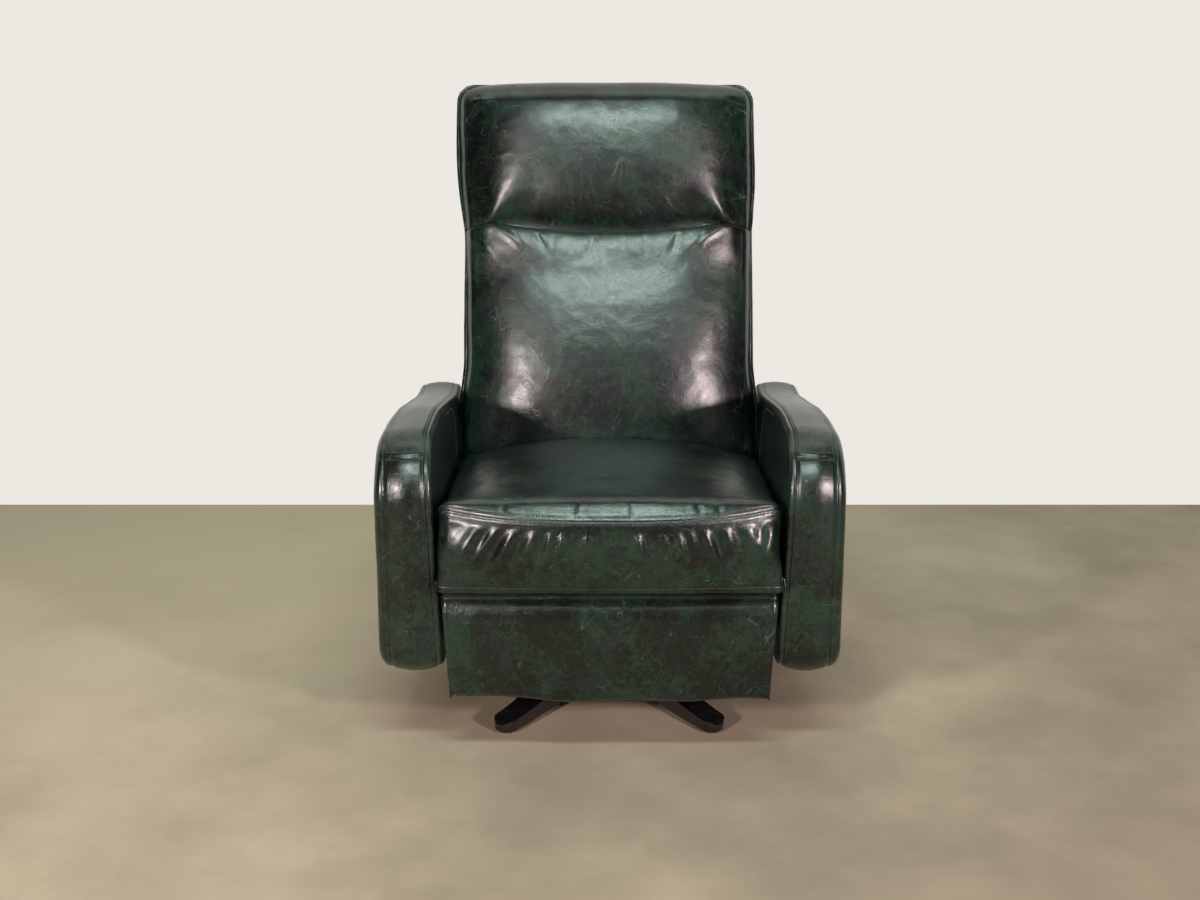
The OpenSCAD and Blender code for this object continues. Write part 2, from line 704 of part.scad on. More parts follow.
// Inner face of an arm's plywood at a height of the side view
function arm_face(z) = arm_in - (seat_top - z) * sin(arm_lean);
spacer_r = 9;
spacer_play = spacer_r * sin(arm_lean) + seat_gap;
ear_x = links_out + cap_t + 2 * seat_gap;
ear_t = 4;
module spacer(p, x0, x1) {
    difference() {
        cross_bar(p, x0, x1 - x0, spacer_r);
        cross_bar(p, x0 - cut, x1 - x0 + 2 * cut, bolt_r + run);
    }
}
module plate_spacers() {
    color(steel) both_sides() {
        for (p = arm_bolts_at) spacer(p, plate_out, arm_face(p.y) - spacer_play);
        for (p = ear_posts_at) spacer(p, plate_out, ear_x);
    }
}
module side_bolt(p, x0, x1) {
    cross_bar(p, x0, x1 - x0, bolt_r);
    cross_bar(p, x0 - bolt_head_h, bolt_head_h, bolt_head_r);
}
module arm_bolts() {
    color(zinc) both_sides() {
        for (p = arm_bolts_at) side_bolt(p, plate_in, arm_face(p.y) + arm_ply * 0.8);
        side_bolt(ear_bolt_at, ear_x, arm_face(ear_bolt_at.y) + arm_ply * 0.8);
        for (p = ear_posts_at) side_bolt(p, plate_in, ear_x + ear_t);
    }
}

// Hinge ears: they carry the back's pivots outside the cushions
ear_eye_r = 24;
ear_edge = 17;
pivot_r = 6;
pivot_rim = 5;
ear_slot_share = 0.7;
function ear_outline() = rounded([
    [hinge_y - ear_reach - ear_edge, plate_low + ear_foot - ear_edge, edge_r],
    [hinge_y + ear_edge, plate_low + ear_foot - ear_edge, edge_r],
    [hinge_y + ear_eye_r, hinge.y, corner_r],
    [hinge_y + ear_eye_r, hinge.y + ear_eye_r, ear_eye_r * 0.95],
    [hinge_y - ear_eye_r, hinge.y + ear_eye_r, ear_eye_r * 0.95],
    [hinge_y - ear_eye_r, hinge.y - edge_r, edge_r],
    [hinge_y - ear_reach - ear_edge, rail_z - ear_edge / 2, edge_r]], 5);
module hinge_ear() {
    side_piece(ear_x, ear_t) difference() {
        polygon(ear_outline());
        translate(hinge) circle(pivot_r + run);
        for (p = concat(ear_posts_at, [ear_bolt_at])) translate(p) circle(bolt_r + run);
        round_slot([hinge_y - edge_r, plate_low + ear_slot_share * plate_h], ear_eye_r, edge_r, 70);
    }
}
module left_hinge_ear() { color(black) hinge_ear(); }
module right_hinge_ear() { color(black) mirror([1, 0, 0]) hinge_ear(); }

disc_t = 0.8;
disc_gap = 0.15;
bracket_x = ear_x - disc_t - 2 * disc_gap - link_t;
module back_pivot_pins() {
    color(zinc) both_sides() {
        cross_bar(hinge, bracket_x, ear_x + ear_t - bracket_x, pivot_r);
        cross_bar(hinge, ear_x + ear_t, bolt_head_h, pivot_r + pivot_rim);
    }
}

// Pin with a head at each end; it lies from x0 to x1 between its heads
module rivet(p, x0, x1, in_t, out_t) {
    cross_bar(p, x0, x1 - x0, pin_r);
    cross_bar(p, x0 - in_t, in_t, head_r);
    cross_bar(p, x1, out_t, head_r);
}
module rear_link_pins() {
    color(zinc) both_sides() rivet(pivot_a, plate_in - seat_gap, layer(0) + link_t + seat_gap, cap_t, head_t);
}

// Front links and the shaft that joins them
module front_link() {
    link([pivot_b, pivot_d, pivot_e], layer(2), [shaft_r + run, pin_r + run, pin_r + run]);
    side_piece(layer(2), link_t) difference() {
        translate(pivot_b) circle(shaft_r + 2 * head_rim);
        translate(pivot_b) circle(shaft_r + run);
    }
}
module left_front_link() { color(steel) front_link(); }
module right_front_link() { color(steel) mirror([1, 0, 0]) front_link(); }
module drive_shaft() {
    shaft_half = links_out + seat_gap;
    color(steel) {
        cross_bar(pivot_b, -shaft_half, 2 * shaft_half, shaft_r);
        both_sides() cross_bar(pivot_b, shaft_half, cap_t, shaft_r + head_rim);
    }
}
module front_link_pins() {
    color(zinc) both_sides() for (p = [pivot_d, pivot_e])
        rivet(p, layer(1) - seat_gap, links_out + seat_gap, head_t, cap_t);
}
module rear_link() {
    link([pivot_a, pivot_c], layer(0), [pin_r + run, pin_r + loose]);
}
module left_rear_link() { color(steel) rear_link(); }
module right_rear_link() { color(steel) mirror([1, 0, 0]) rear_link(); }
module upper_link() {
    link([pivot_f, pivot_d, pivot_c], layer(1), [pin_r + run, pin_r + run, pin_r + run]);
}
module left_upper_link() { color(steel) upper_link(); }
module right_upper_link() { color(steel) mirror([1, 0, 0]) upper_link(); }
module upper_link_pins() {
    color(zinc) both_sides() {
        rivet(pivot_c, layer(0) - seat_gap, layer(1) + link_t + seat_gap, head_t, head_t);
        rivet(pivot_f, layer(1) - seat_gap, links_out + seat_gap, head_t, cap_t);
    }
}
module lower_link() {
    link([pivot_g, pivot_e], layer(1), [pin_r + run, pin_r + run]);
}
module left_lower_link() { color(steel) lower_link(); }
module right_lower_link() { color(steel) mirror([1, 0, 0]) lower_link(); }
module lower_link_pins() {
    color(zinc) both_sides() rivet(pivot_g, layer(1) - seat_gap, links_out + seat_gap, head_t, cap_t);
}

// Footrest: brackets, board and pad
board_t = 10;
flange_room = 4;
board_y = pivot_f.x - link_w / 2 - flange_room;
bracket_edge = 10;
flange_in = 42;
flange_t = 2.7;
flange_y = board_y + seat_gap;
panel_gap = 14;
panel_top = seat_under - panel_gap;
panel_low = panel_top - panel_h;
board_margin = 9;
module footrest_bracket() {
    difference() {
        union() {
            side_piece(layer(2), link_t) polygon(rounded([
                [flange_y, pivot_g.y - bracket_edge, seat_gap],
                [pivot_g.x + bracket_edge, pivot_g.y - bracket_edge, bracket_edge * 0.9],
                [pivot_f.x + bracket_edge, pivot_f.y + bracket_edge, bracket_edge * 0.9],
                [flange_y, pivot_f.y + bracket_edge, seat_gap]], 4));
            translate([links_out - flange_in, flange_y, pivot_g.y - bracket_edge])
                cube([flange_in, flange_t, pivot_f.y - pivot_g.y + 2 * bracket_edge]);
        }
        side_piece(layer(1), 3 * link_t) {
            translate(pivot_f) circle(pin_r + run);
            translate(pivot_g) circle(pin_r + loose);
        }
        for (z = footrest_screw_z) translate([footrest_screw_x, flange_y - cut, z]) rotate([-90, 0, 0])
            cylinder(r = screw_r + run, h = flange_t + 2 * cut);
    }
}
footrest_screw_x = links_out - flange_in * 0.66;
footrest_screw_z = [pivot_g.y + flange_room, pivot_f.y - flange_room];
module left_footrest_bracket() { color(black) footrest_bracket(); }
module right_footrest_bracket() { color(black) mirror([1, 0, 0]) footrest_bracket(); }
module footrest_board() {
    top = seat_half - board_margin;
    low = panel_low_half - board_margin;
    color(wood) difference() {
        translate([0, board_y, 0]) rotate([90, 0, 0]) linear_extrude(board_t) polygon([
            [-low, panel_low + board_margin], [low, panel_low + board_margin],
            [top, panel_top - board_margin], [-top, panel_top - board_margin]]);
        both_sides() for (z = footrest_screw_z) translate([footrest_screw_x, board_y + cut, z])
            rotate([90, 0, 0]) cylinder(r = screw_r + run, h = board_t * 0.8 + cut);
    }
}
module footrest_screws() {
    color(zinc) both_sides() for (z = footrest_screw_z) translate([footrest_screw_x, 0, z]) {
        translate([0, flange_y + flange_t, 0]) rotate([-90, 0, 0]) cylinder(r = sink_r, h = cap_t);
        translate([0, board_y - board_t * 0.7, 0]) rotate([-90, 0, 0])
            cylinder(r = screw_r, h = board_t * 0.7 + seat_gap + flange_t);
    }
}
pad_crown = 5;
pad_edge = 8;
function pad_half(z) = mix(panel_low_half, seat_half, (z - panel_low) / panel_h);
pad_rear = board_y - board_t - seat_gap;
pad_front = pad_rear - pad_t + pad_crown;
function pad_ring(u) =
    let (q = 1 - pow(u, 4), high = panel_top - pad_edge, low = panel_low + pad_edge,
        face = [for (i = [0:9]) let (t = i / 9)
        [pad_front - pad_crown * q * pow(sin(180 * t), 0.6), mix(high, low, t)]])
    concat([[pad_rear, panel_low], [pad_rear, panel_top]],
        [for (a = [30, 60]) [pad_front + pad_edge * (1 - sin(a)), high + pad_edge * cos(a)]],
        face,
        [for (a = [60, 30]) [pad_front + pad_edge * (1 - sin(a)), low - pad_edge * cos(a)]]);
pad_shares = [[1, 0.75], [0.99, 0.25], [0.965, 0], [0.8, 0], [0.5, 0], [0.2, 0]];
module footrest_pad() {
    color(leather) loft([for (s = both_ways(pad_shares))
        [for (p = drawn_in(pad_ring(s[0]), s[1] * pad_edge, pad_rear)) [s[0] * pad_half(p.y), p.x, p.y]]]);
}

// The back is drawn upright about its hinge: v runs rearwards and w runs up along it
module on_back() {
    translate([0, hinge.x, hinge.y]) rotate([-back_lean, 0, 0]) children();
}
post_w = 30;
post_d = 40;
post_v = 1;
post_inset = 10;
post_out = back_half - post_inset;
cushion_low = -28;
lower_rail_h = 28;
lower_rail_d = 58;
crease_gap = 12;
section_top = crease_w - crease_gap / 2;
post_short = 10;
module back_post() {
    translate([post_out - post_w, post_v, cushion_low + seat_gap])
        cube([post_w, post_d, section_top - cushion_low - post_short]);
}
module left_back_post() { color(wood) on_back() back_post(); }
module right_back_post() { color(wood) mirror([1, 0, 0]) on_back() back_post(); }
rail_half = bracket_x - seat_gap;
module lower_back_rail() {
    color(wood) on_back() difference() {
        translate([-rail_half, post_v, cushion_low - lower_rail_h])
            cube([2 * rail_half, lower_rail_d, lower_rail_h]);
        both_sides() for (v = bracket_screw_v) translate([rail_half + cut, v, bracket_screw_w])
            rotate([0, -90, 0]) cylinder(r = screw_r + run, h = screw_l + cut + seat_gap);
    }
}
bracket_screw_v = [post_v + lower_rail_d / 4, post_v + lower_rail_d * 3 / 4];
bracket_screw_w = cushion_low - lower_rail_h / 2;
upper_rail_h = 40;
upper_rail_t = 20;
upper_rail_half = post_out - post_w - seat_gap;
module upper_back_rail() {
    color(wood) on_back() translate([-upper_rail_half, post_v, section_top - upper_rail_h - post_short])
        cube([2 * upper_rail_half, upper_rail_t, upper_rail_h]);
}
web_bands = 5;
web_w = 50;
webbing_t = 2;
web_half = post_out - post_w / 5;
module back_webbing() {
    pitch = (section_top - upper_rail_h - 2 * web_w) / web_bands;
    color(black) on_back() for (i = [0:web_bands - 1])
        translate([-web_half, post_v - webbing_t, cushion_low + web_w * 0.8 + i * pitch])
            cube([2 * web_half, webbing_t, web_w]);
}

// Recline brackets on the outside of the back, with their eyes on the pivot pins
bracket_top = 125;
bracket_nose = 20;
function bracket_outline() = rounded([
    [post_v, cushion_low - lower_rail_h + cut, pivot_rim],
    [post_v + lower_rail_d - cut, cushion_low - lower_rail_h + cut, pivot_rim],
    [post_v + lower_rail_d * 0.8, bracket_top / 3, edge_r], [post_v + post_d, bracket_top, edge_r],
    [post_v + post_d / 3, bracket_top, edge_r], [-post_v, bracket_nose * 1.3, corner_r],
    [-bracket_nose, bracket_nose, bracket_nose * 0.8],
    [-bracket_nose, -bracket_nose * 0.9, bracket_nose * 0.8]], 4);
module recline_bracket() {
    on_back() side_piece(bracket_x, link_t) difference() {
        polygon(bracket_outline());
        circle(pivot_r + run);
    }
    on_back() for (v = bracket_screw_v) translate([bracket_x - screw_l, v, bracket_screw_w])
        rotate([0, 90, 0]) cylinder(r = screw_r, h = screw_l + link_t);
}
module left_recline_bracket() { color(black) recline_bracket(); }
module right_recline_bracket() { color(black) mirror([1, 0, 0]) recline_bracket(); }
module friction_discs() {
    color(zinc) both_sides() difference() {
        cross_bar(hinge, bracket_x + link_t + disc_gap, disc_t, ear_eye_r - 2 * head_rim);
        cross_bar(hinge, bracket_x, 3 * link_t, pivot_r + run);
    }
}

// Half width of the back at a height along it
neck_share = 0.36;
neck_half = mix(back_half, head_half, neck_share);
function back_x(w) = w < crease_w
    ? mix(back_half, neck_half, ease(clamped((w - bracket_top) / (crease_w - bracket_top) * 1.5)))
    : mix(neck_half, head_half, ease(clamped((w - crease_w) / head_h * 1.5)));
pinch = 5;
pinch_reach = 26;
function pinched(w) = back_x(w) - pinch * exp(-pow((w - crease_w) / pinch_reach, 2));
lip_v = 26;
lip_slope = 13.5;
lip_r = 20;
lip_gap = 2.5;
lip_step = 3;
cushion_rear = post_v - webbing_t - seat_gap;
function back_ring(u) =
    let (q = 1 - pow(u, 4), f = -back_face, lip = crease_w - lip_gap,
        drop = lip_v * tan(lip_slope))
    concat([[cushion_rear, cushion_low], [cushion_rear, section_top],
            [f + lip_v + lip_step, section_top], [f + lip_v, lip]],
        [for (a = [0:25:75]) [f + lip_r * (1 - sin(a)), lip - drop - lip_r * (1 - cos(a))]],
        [for (i = [0:11]) let (t = i / 11)
            [f - back_crown * q * pow(sin(180 * t), 0.7), mix(lip - drop - lip_r, cushion_low + lip_r, t)]],
        [for (a = [70, 40, 15]) [f + lip_r * (1 - sin(a)), cushion_low + lip_r * (1 - cos(a))]]);
back_edge = 14;
back_shares = [[1, 1], [0.992, 0.42], [0.972, 0.1], [0.93, 0], [0.75, 0], [0.5, 0], [0.2, 0]];
module back_cushion() {
    color(leather) on_back() loft([for (s = both_ways(back_shares))
        [for (p = drawn_in(back_ring(s[0]), s[1] * back_edge, cushion_rear))
            [s[0] * pinched(p.y), p.x, p.y]]]);
}

// Head cushion, with its roll over the top
head_roll = 46;
head_sag = 3;
head_top = crease_w + head_h;
function head_ring(u) =
    let (q = 1 - pow(u, 4), f = -back_face, low = crease_w + crease_gap / 2,
        lip = crease_w + lip_gap, rise = lip_v * tan(lip_slope), high = lip + rise + lip_r,
        top = head_top - head_sag * (1 + u * u))
    concat([[cushion_rear, low], [cushion_rear, top], [-head_roll * 0.5, top]],
        [for (a = [12:26:90]) [f + head_roll * (1 - sin(a)), top - head_roll * (1 - cos(a))]],
        [for (i = [0:9]) let (t = i / 9)
            [f - head_crown * q * pow(sin(180 * t), 0.8), mix(top - head_roll, high, t)]],
        [for (a = [75:-25:0]) [f + lip_r * (1 - sin(a)), high - lip_r * cos(a)]],
        [[f + lip_v, lip], [f + lip_v + lip_step, low]]);
module head_cushion() {
    color(leather) on_back() loft([for (s = both_ways(back_shares))
        [for (p = drawn_in(head_ring(s[0]), s[1] * back_edge, cushion_rear))
            [s[0] * pinched(p.y), p.x, p.y]]]);
}

// Outside back: padded walls round the rear and both sides of the frame
shell_t = 9;
shell_edge = 1;
side_share = 0.967;
wall_share = 0.9645;
shell_steps = 8;
shell_crown = 6;
shell_gap = 2;
shell_corner = 14;
head_corner = 58;
// Side view of a wall: up the rear and round a corner to where it ends at the top
function shell_path(low, high, r, rear, front) = concat(
    [for (i = [0:shell_steps - 1]) [rear, mix(low, high - r, i / (shell_steps - 1))]],
    [for (a = [22.5:22.5:90]) [rear - r + r * cos(a), high - r + r * sin(a)]],
    [[front, high]]);
// Row of the shell: its place across the chair, how much its edge is drawn in,
// and 1 where the wall reaches right to the front, as it does at the sides
shell_shares = [[1, 1, 1], [0.985, 0.22, 1], [side_share, 0, 1],
    [wall_share, 0, 0], [0.8, 0, 0], [0.5, 0, 0], [0.2, 0, 0]];
function shell_ring(u, d, full, low, high, r, front) =
    let (rear = back_rear - shell_crown * u * u - d,
        outer = shell_path(low + d, high - d, r, rear, front),
        last = len(outer) - 1,
        walls = shell_path(low, high - shell_t, r - shell_t / 2, rear - shell_t, front),
        side = [for (i = [0:last]) [0, mix(low + d, high - d - shell_edge, i / last)]],
        inner = full == 1 ? side : walls)
    concat(outer, [for (i = [last:-1:0]) inner[i]]);
module shell(low, high, r, front) {
    color(leather) on_back() loft([for (s = both_ways(shell_shares))
        [for (p = shell_ring(s[0], s[1] * shell_t, s[2], low, high, r, front))
            [s[0] * pinched(p.y), p.x, p.y]]]);
}
module outer_back_panel() {
    shell(cushion_low, crease_w - shell_gap, shell_corner, back_rear - 2 * shell_corner);
}
module head_rear_panel() {
    shell(crease_w + shell_gap, head_top - head_sag, head_corner, 0);
}

// Headrest board, and the two halves of the hinges that carry it
head_board_t = 15;
head_board_drop = 52;
board_low = crease_w + crease_gap / 2 + seat_gap;
board_high = head_top - head_board_drop;
function board_half(w) = wall_share * pinched(w) - seat_gap;
module head_board() {
    low = board_half(board_low);
    high = board_half(board_high);
    color(wood) on_back() translate([0, post_v + head_board_t, 0]) rotate([90, 0, 0])
        linear_extrude(head_board_t)
            polygon([[-low, board_low], [low, board_low], [high, board_high], [-high, board_high]]);
}
barrel_r = 5;
hinge_pin_r = 3;
barrel_room = 8;
barrel_v = -back_face + lip_v + barrel_room;
leaf_t = 2;
leaf_w = 60;
leaf_h = 50;
leaf_gap = 2;
leaf_x = post_out - post_w - leaf_gap - leaf_w;
upper_leaf_w = crease_w + crease_gap / 2 - leaf_t - seat_gap;
lower_leaf_w = section_top + seat_gap;
module barrel(x, l, r) {
    translate([x, barrel_v, crease_w]) rotate([0, 90, 0]) cylinder(r = r, h = l);
}
module head_hinge_upper() {
    reach = post_v + head_board_t + seat_gap - barrel_v;
    color(zinc) on_back() both_sides() difference() {
        union() {
            barrel(leaf_x, leaf_w / 2, barrel_r);
            translate([leaf_x, barrel_v, upper_leaf_w]) cube([leaf_w / 2, reach + leaf_t, leaf_t]);
            translate([leaf_x, barrel_v + reach, upper_leaf_w]) cube([leaf_w / 2, leaf_t, leaf_h]);
        }
        barrel(leaf_x - cut, leaf_w / 2 + 2 * cut, hinge_pin_r + run);
    }
}
module head_hinge_lower() {
    reach = post_v + upper_rail_t + seat_gap - barrel_v;
    x = leaf_x + leaf_w / 2 + seat_gap;
    color(zinc) on_back() both_sides() {
        barrel(x, leaf_w / 2, barrel_r);
        barrel(leaf_x, leaf_w, hinge_pin_r);
        translate([x, barrel_v, lower_leaf_w]) cube([leaf_w / 2, reach + leaf_t, leaf_t]);
        translate([x, barrel_v + reach, lower_leaf_w + leaf_t - leaf_h])
            cube([leaf_w / 2, leaf_t, leaf_h]);
    }
}

star_base();
floor_glides();
lower_swivel_plate();
pivot_post();
base_fasteners();
ball_cage();
bearing_balls();
upper_swivel_plate();
front_cross_beam();
rear_cross_beam();
left_side_plate();
right_side_plate();
chassis_bolts();
front_seat_rail();
rear_seat_rail();
seat_springs();
spring_clips();
seat_cushion();
left_arm_frame();
right_arm_frame();
left_arm_cover();
right_arm_cover();
plate_spacers();
arm_bolts();
left_hinge_ear();
right_hinge_ear();
back_pivot_pins();
rear_link_pins();
left_front_link();
right_front_link();
drive_shaft();
front_link_pins();
left_rear_link();
right_rear_link();
left_upper_link();
right_upper_link();
upper_link_pins();
left_lower_link();
right_lower_link();
lower_link_pins();
left_footrest_bracket();
right_footrest_bracket();
footrest_board();
footrest_pad();
footrest_screws();
left_back_post();
right_back_post();
lower_back_rail();
upper_back_rail();
back_webbing();
left_recline_bracket();
right_recline_bracket();
friction_discs();
back_cushion();
outer_back_panel();
head_board();
head_hinge_lower();
head_hinge_upper();
head_cushion();
head_rear_panel();
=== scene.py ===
"""Looks of a swivel recliner in dark green pull-up leather. Lengths are in metres, and the front faces -Y."""
import json
import math

import bpy
import numpy as np
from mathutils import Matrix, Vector, noise


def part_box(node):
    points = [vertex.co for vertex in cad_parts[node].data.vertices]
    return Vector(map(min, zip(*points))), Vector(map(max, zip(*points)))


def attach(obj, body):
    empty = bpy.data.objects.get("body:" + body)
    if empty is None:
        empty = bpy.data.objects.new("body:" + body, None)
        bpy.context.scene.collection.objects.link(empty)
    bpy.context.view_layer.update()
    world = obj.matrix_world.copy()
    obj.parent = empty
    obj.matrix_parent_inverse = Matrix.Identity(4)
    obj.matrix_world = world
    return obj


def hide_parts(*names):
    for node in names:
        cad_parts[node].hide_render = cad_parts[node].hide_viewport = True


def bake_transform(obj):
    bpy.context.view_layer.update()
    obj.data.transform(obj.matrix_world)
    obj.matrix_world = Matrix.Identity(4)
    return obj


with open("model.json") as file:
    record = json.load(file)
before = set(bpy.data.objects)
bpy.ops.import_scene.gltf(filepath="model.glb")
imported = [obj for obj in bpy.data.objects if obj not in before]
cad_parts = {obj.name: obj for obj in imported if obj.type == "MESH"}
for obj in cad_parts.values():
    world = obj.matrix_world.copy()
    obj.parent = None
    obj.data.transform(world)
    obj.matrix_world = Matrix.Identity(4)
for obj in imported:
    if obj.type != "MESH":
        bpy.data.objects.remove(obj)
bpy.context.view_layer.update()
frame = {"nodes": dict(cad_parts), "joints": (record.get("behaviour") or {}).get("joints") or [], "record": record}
nodes = frame["nodes"]
joints = {joint["name"]: joint for joint in frame["joints"]}

# Sewing: how far apart two rows of stitches lie, and the pitch, length and thickness of a stitch
STITCH_SPREAD = 0.0068
STITCH_PITCH = 0.0052
STITCH_LENGTH = 0.0038
STITCH_RADIUS = 0.0005
# A stitch is a bar of four sides between two shoulders, and its ends dip into the leather
THREAD_SIDES = ((1, 0), (0.2, 1), (-1, 0), (0, -1))
THREAD_SHOULDERS = (-0.3, 0.3)
THREAD_LIFT = 0.35
# Leather at a seam: the groove, the dents of the stitches, and the soft swell beyond them
GROOVE_DEPTH = 0.0013
GROOVE_WIDTH = 0.0011
DENT_SHARE = 0.35
DENT_WIDTH = 0.0012
SWELL_HEIGHT = 0.0005
SWELL_AWAY = 0.0075
SWELL_WIDTH = 0.003
# Spacing of a cover's points, and the closer places on both sides of a seam
WEAVE = 0.0045
SEAM_STEPS = np.array([-9, -7, -5.2, -3.6, -2.4, -1.3, -0.6, 0, 0.6, 1.3, 2.4, 3.6, 5.2, 7, 9]) / 1000
# Distance from a seam that stands for a place which the seam doesn't reach
FAR = 9.0
# Keeps a length from being nothing where something is divided by it
TINY = 1e-12
# Each seed of the soft random heights looks this much further on in the noise
NOISE_STEP = 7.31
MIRROR = np.array([-1, 1, 1])


# Curves and outlines

def mix(a, b, t):
    return a + (b - a) * t


def smooth(t):
    t = np.clip(t, 0, 1)
    return t * t * (3 - 2 * t)


def hump(distance, width):
    return np.exp(-(distance / width) ** 2)


def stations(low, high, spacing=WEAVE, seams=()):
    """Places from low to high, closer together on both sides of each seam."""
    plain = np.linspace(low, high, max(2, round((high - low) / spacing) + 1))
    reach = SEAM_STEPS[-1] + spacing * 0.4
    places = [p for p in plain if all(abs(p - seam) > reach for seam in seams)]
    for seam in seams:
        places += [seam + step for step in SEAM_STEPS if low < seam + step < high]
    return np.array(sorted({low, high, *places}))


def unit(v):
    return v / np.linalg.norm(v)


def corner_arc(before, corner, after, radius, steps):
    """Arc that rounds a corner of an outline."""
    u, v = unit(before - corner), unit(after - corner)
    half = math.acos(np.clip(u @ v, -1, 1)) / 2
    arriving, leaving = corner - before, after - corner
    side = 1 if arriving[0] * leaving[1] > arriving[1] * leaving[0] else -1
    middle = corner + unit(u + v) * radius / math.sin(half)
    start = math.atan2(-arriving[0], arriving[1])
    turn = side * (math.pi - 2 * half)
    angles = start + turn * np.linspace(0, 1, steps)
    return middle + side * radius * np.stack([np.cos(angles), np.sin(angles)], axis=1)


def rounded(corners, steps=14):
    """Closed outline through corners given as (across, up, radius)."""
    places = np.array([corner[:2] for corner in corners], float)
    arcs = []
    for i, (_, _, radius) in enumerate(corners):
        following = places[(i + 1) % len(places)]
        arcs.append(corner_arc(places[i - 1], places[i], following, radius, steps))
    return np.concatenate(arcs)


def length_along(line):
    return np.concatenate([[0], np.cumsum(np.linalg.norm(np.diff(line, axis=0), axis=1))])


def spaced(line, places):
    """Points of a line at places that are given as lengths along it."""
    along = length_along(line)
    return np.stack([np.interp(places, along, line[:, k]) for k in range(line.shape[1])], axis=1)


def evenly(outline, count):
    """Closed outline with its points spaced evenly."""
    closed = np.concatenate([outline, outline[:1]])
    total = length_along(closed)[-1]
    return spaced(closed, total * np.arange(count) / count)


def inset(ring, distance):
    """Closed outline drawn in by a distance along its own normals."""
    tangent = np.roll(ring, -1, axis=0) - np.roll(ring, 1, axis=0)
    tangent /= np.linalg.norm(tangent, axis=1, keepdims=True) + TINY
    outward = np.stack([tangent[:, 1], -tangent[:, 0]], axis=1)
    return ring - outward * distance


def within(ring, outer):
    """Outline kept inside the box of another, so that thin lips don't turn inside out."""
    return np.clip(ring, outer.min(axis=0), outer.max(axis=0))


def shrunk(ring, centre, share):
    return centre + (ring - centre) * share


def quarter_turn(count):
    return np.linspace(0, math.pi / 2, count)


def row_at(x, ring):
    """Row of a cover: an outline with its place across, which is one number or one for each point."""
    return np.column_stack([np.broadcast_to(x, len(ring)), ring])


# Covers

class Cover:
    """Leather as a grid of points, closed round each row and drawn together at both ends."""

    def __init__(self, rows):
        self.points = np.array(rows, float)
        self.sign = 1
        from_middle = self.points - self.points.mean((0, 1))
        if np.einsum("ijk,ijk->", from_middle, self.slopes()) <= 0:
            self.sign = -1

    def slopes(self):
        """Directions out of the leather at each point, as long as its cells are large."""
        around = np.roll(self.points, -1, axis=1) - np.roll(self.points, 1, axis=1)
        return np.cross(np.gradient(self.points, axis=0), around) * self.sign

    def normals(self):
        normal = self.slopes()
        return normal / (np.linalg.norm(normal, axis=2, keepdims=True) + TINY)

    def push(self, amount):
        """Moves every point out along its normal."""
        self.points = self.points + self.normals() * amount[..., None]

    def at(self, rows, columns):
        """Points and normals at fractional places of the grid."""
        count, around = self.points.shape[:2]
        almost_last = count - 1.001
        rows = np.clip(np.asarray(rows, float), 0, almost_last)
        columns = np.asarray(columns, float) % around
        r, c = rows.astype(int), columns.astype(int)
        fr, fc = (rows - r)[:, None], (columns - c)[:, None]
        found = []
        for grid in (self.points, self.normals()):
            low = mix(grid[r, c], grid[r, (c + 1) % around], fc)
            high = mix(grid[r + 1, c], grid[r + 1, (c + 1) % around], fc)
            found.append(mix(low, high, fr))
        return found

    def mesh(self, name):
        rows, around = self.points.shape[:2]
        mesh = bpy.data.meshes.new(name)
        poles = self.points[[0, -1]].mean(axis=1)
        verts = np.concatenate([self.points.reshape(-1, 3), poles])
        r, c = np.meshgrid(np.arange(rows - 1), np.arange(around), indexing="ij")
        here, there = r * around + c, r * around + (c + 1) % around
        quads = np.stack([here, there, there + around, here + around], axis=-1).reshape(-1, 4)
        ring, after = np.arange(around), (np.arange(around) + 1) % around
        first = np.stack([after, ring, np.full(around, rows * around)], axis=1)
        last = np.stack([ring, after, np.full(around, rows * around + 1)], axis=1)
        last[:, :2] += (rows - 1) * around
        if self.sign > 0:
            quads, first, last = quads[:, ::-1], first[:, ::-1], last[:, ::-1]
        mesh.from_pydata(verts.tolist(), [], quads.tolist() + first.tolist() + last.tolist())
        mesh.shade_smooth()
        return mesh


def piece(name, mesh, body, material):
    """New object that rides a body, or is left unparented in world space where body is None."""
    made = bpy.data.objects.new(name, mesh)
    bpy.context.scene.collection.objects.link(made)
    made.data.materials.append(material)
    if body is None:
        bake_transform(made)
    else:
        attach(made, body)
    return made


def rumple(points, size, height, seed):
    """Soft random height at each point, up to `height` either way, in lumps of about this size."""
    flat = points.reshape(-1, 3) / size + seed * NOISE_STEP
    return np.array([noise.noise(p) for p in flat.tolist()]).reshape(points.shape[:-1]) * height


def seam_dip(distance, deep=GROOVE_DEPTH, swell=SWELL_HEIGHT):
    """Height of the leather beside a seam, by the distance from it."""
    beside = np.abs(distance)
    dents = hump(beside - STITCH_SPREAD / 2, DENT_WIDTH) * deep * DENT_SHARE
    return swell * hump(beside - SWELL_AWAY, SWELL_WIDTH) - deep * hump(distance, GROOVE_WIDTH) - dents


def ridge(d):
    """Cross section of a fold: a rounded ridge with a shallow dip on both sides."""
    return np.exp(-d * d) * (1 - 1.1 * d * d)


def fold(along_seam, down, at, start, lean, length, width, height):
    """Height of a fold that starts beside a seam and runs down from it, growing wider.

    It leans along the seam by `lean` for each unit down, and `at` is its place along the seam."""
    run = np.clip((down - start) / length, 0, 1)
    fade = np.sin(np.pi * run) ** 0.8 * (down > start) * (down < start + length)
    return height * fade * ridge((along_seam - at - lean * (down - start)) / (width * (0.7 + 0.6 * run)))


# Sewing thread

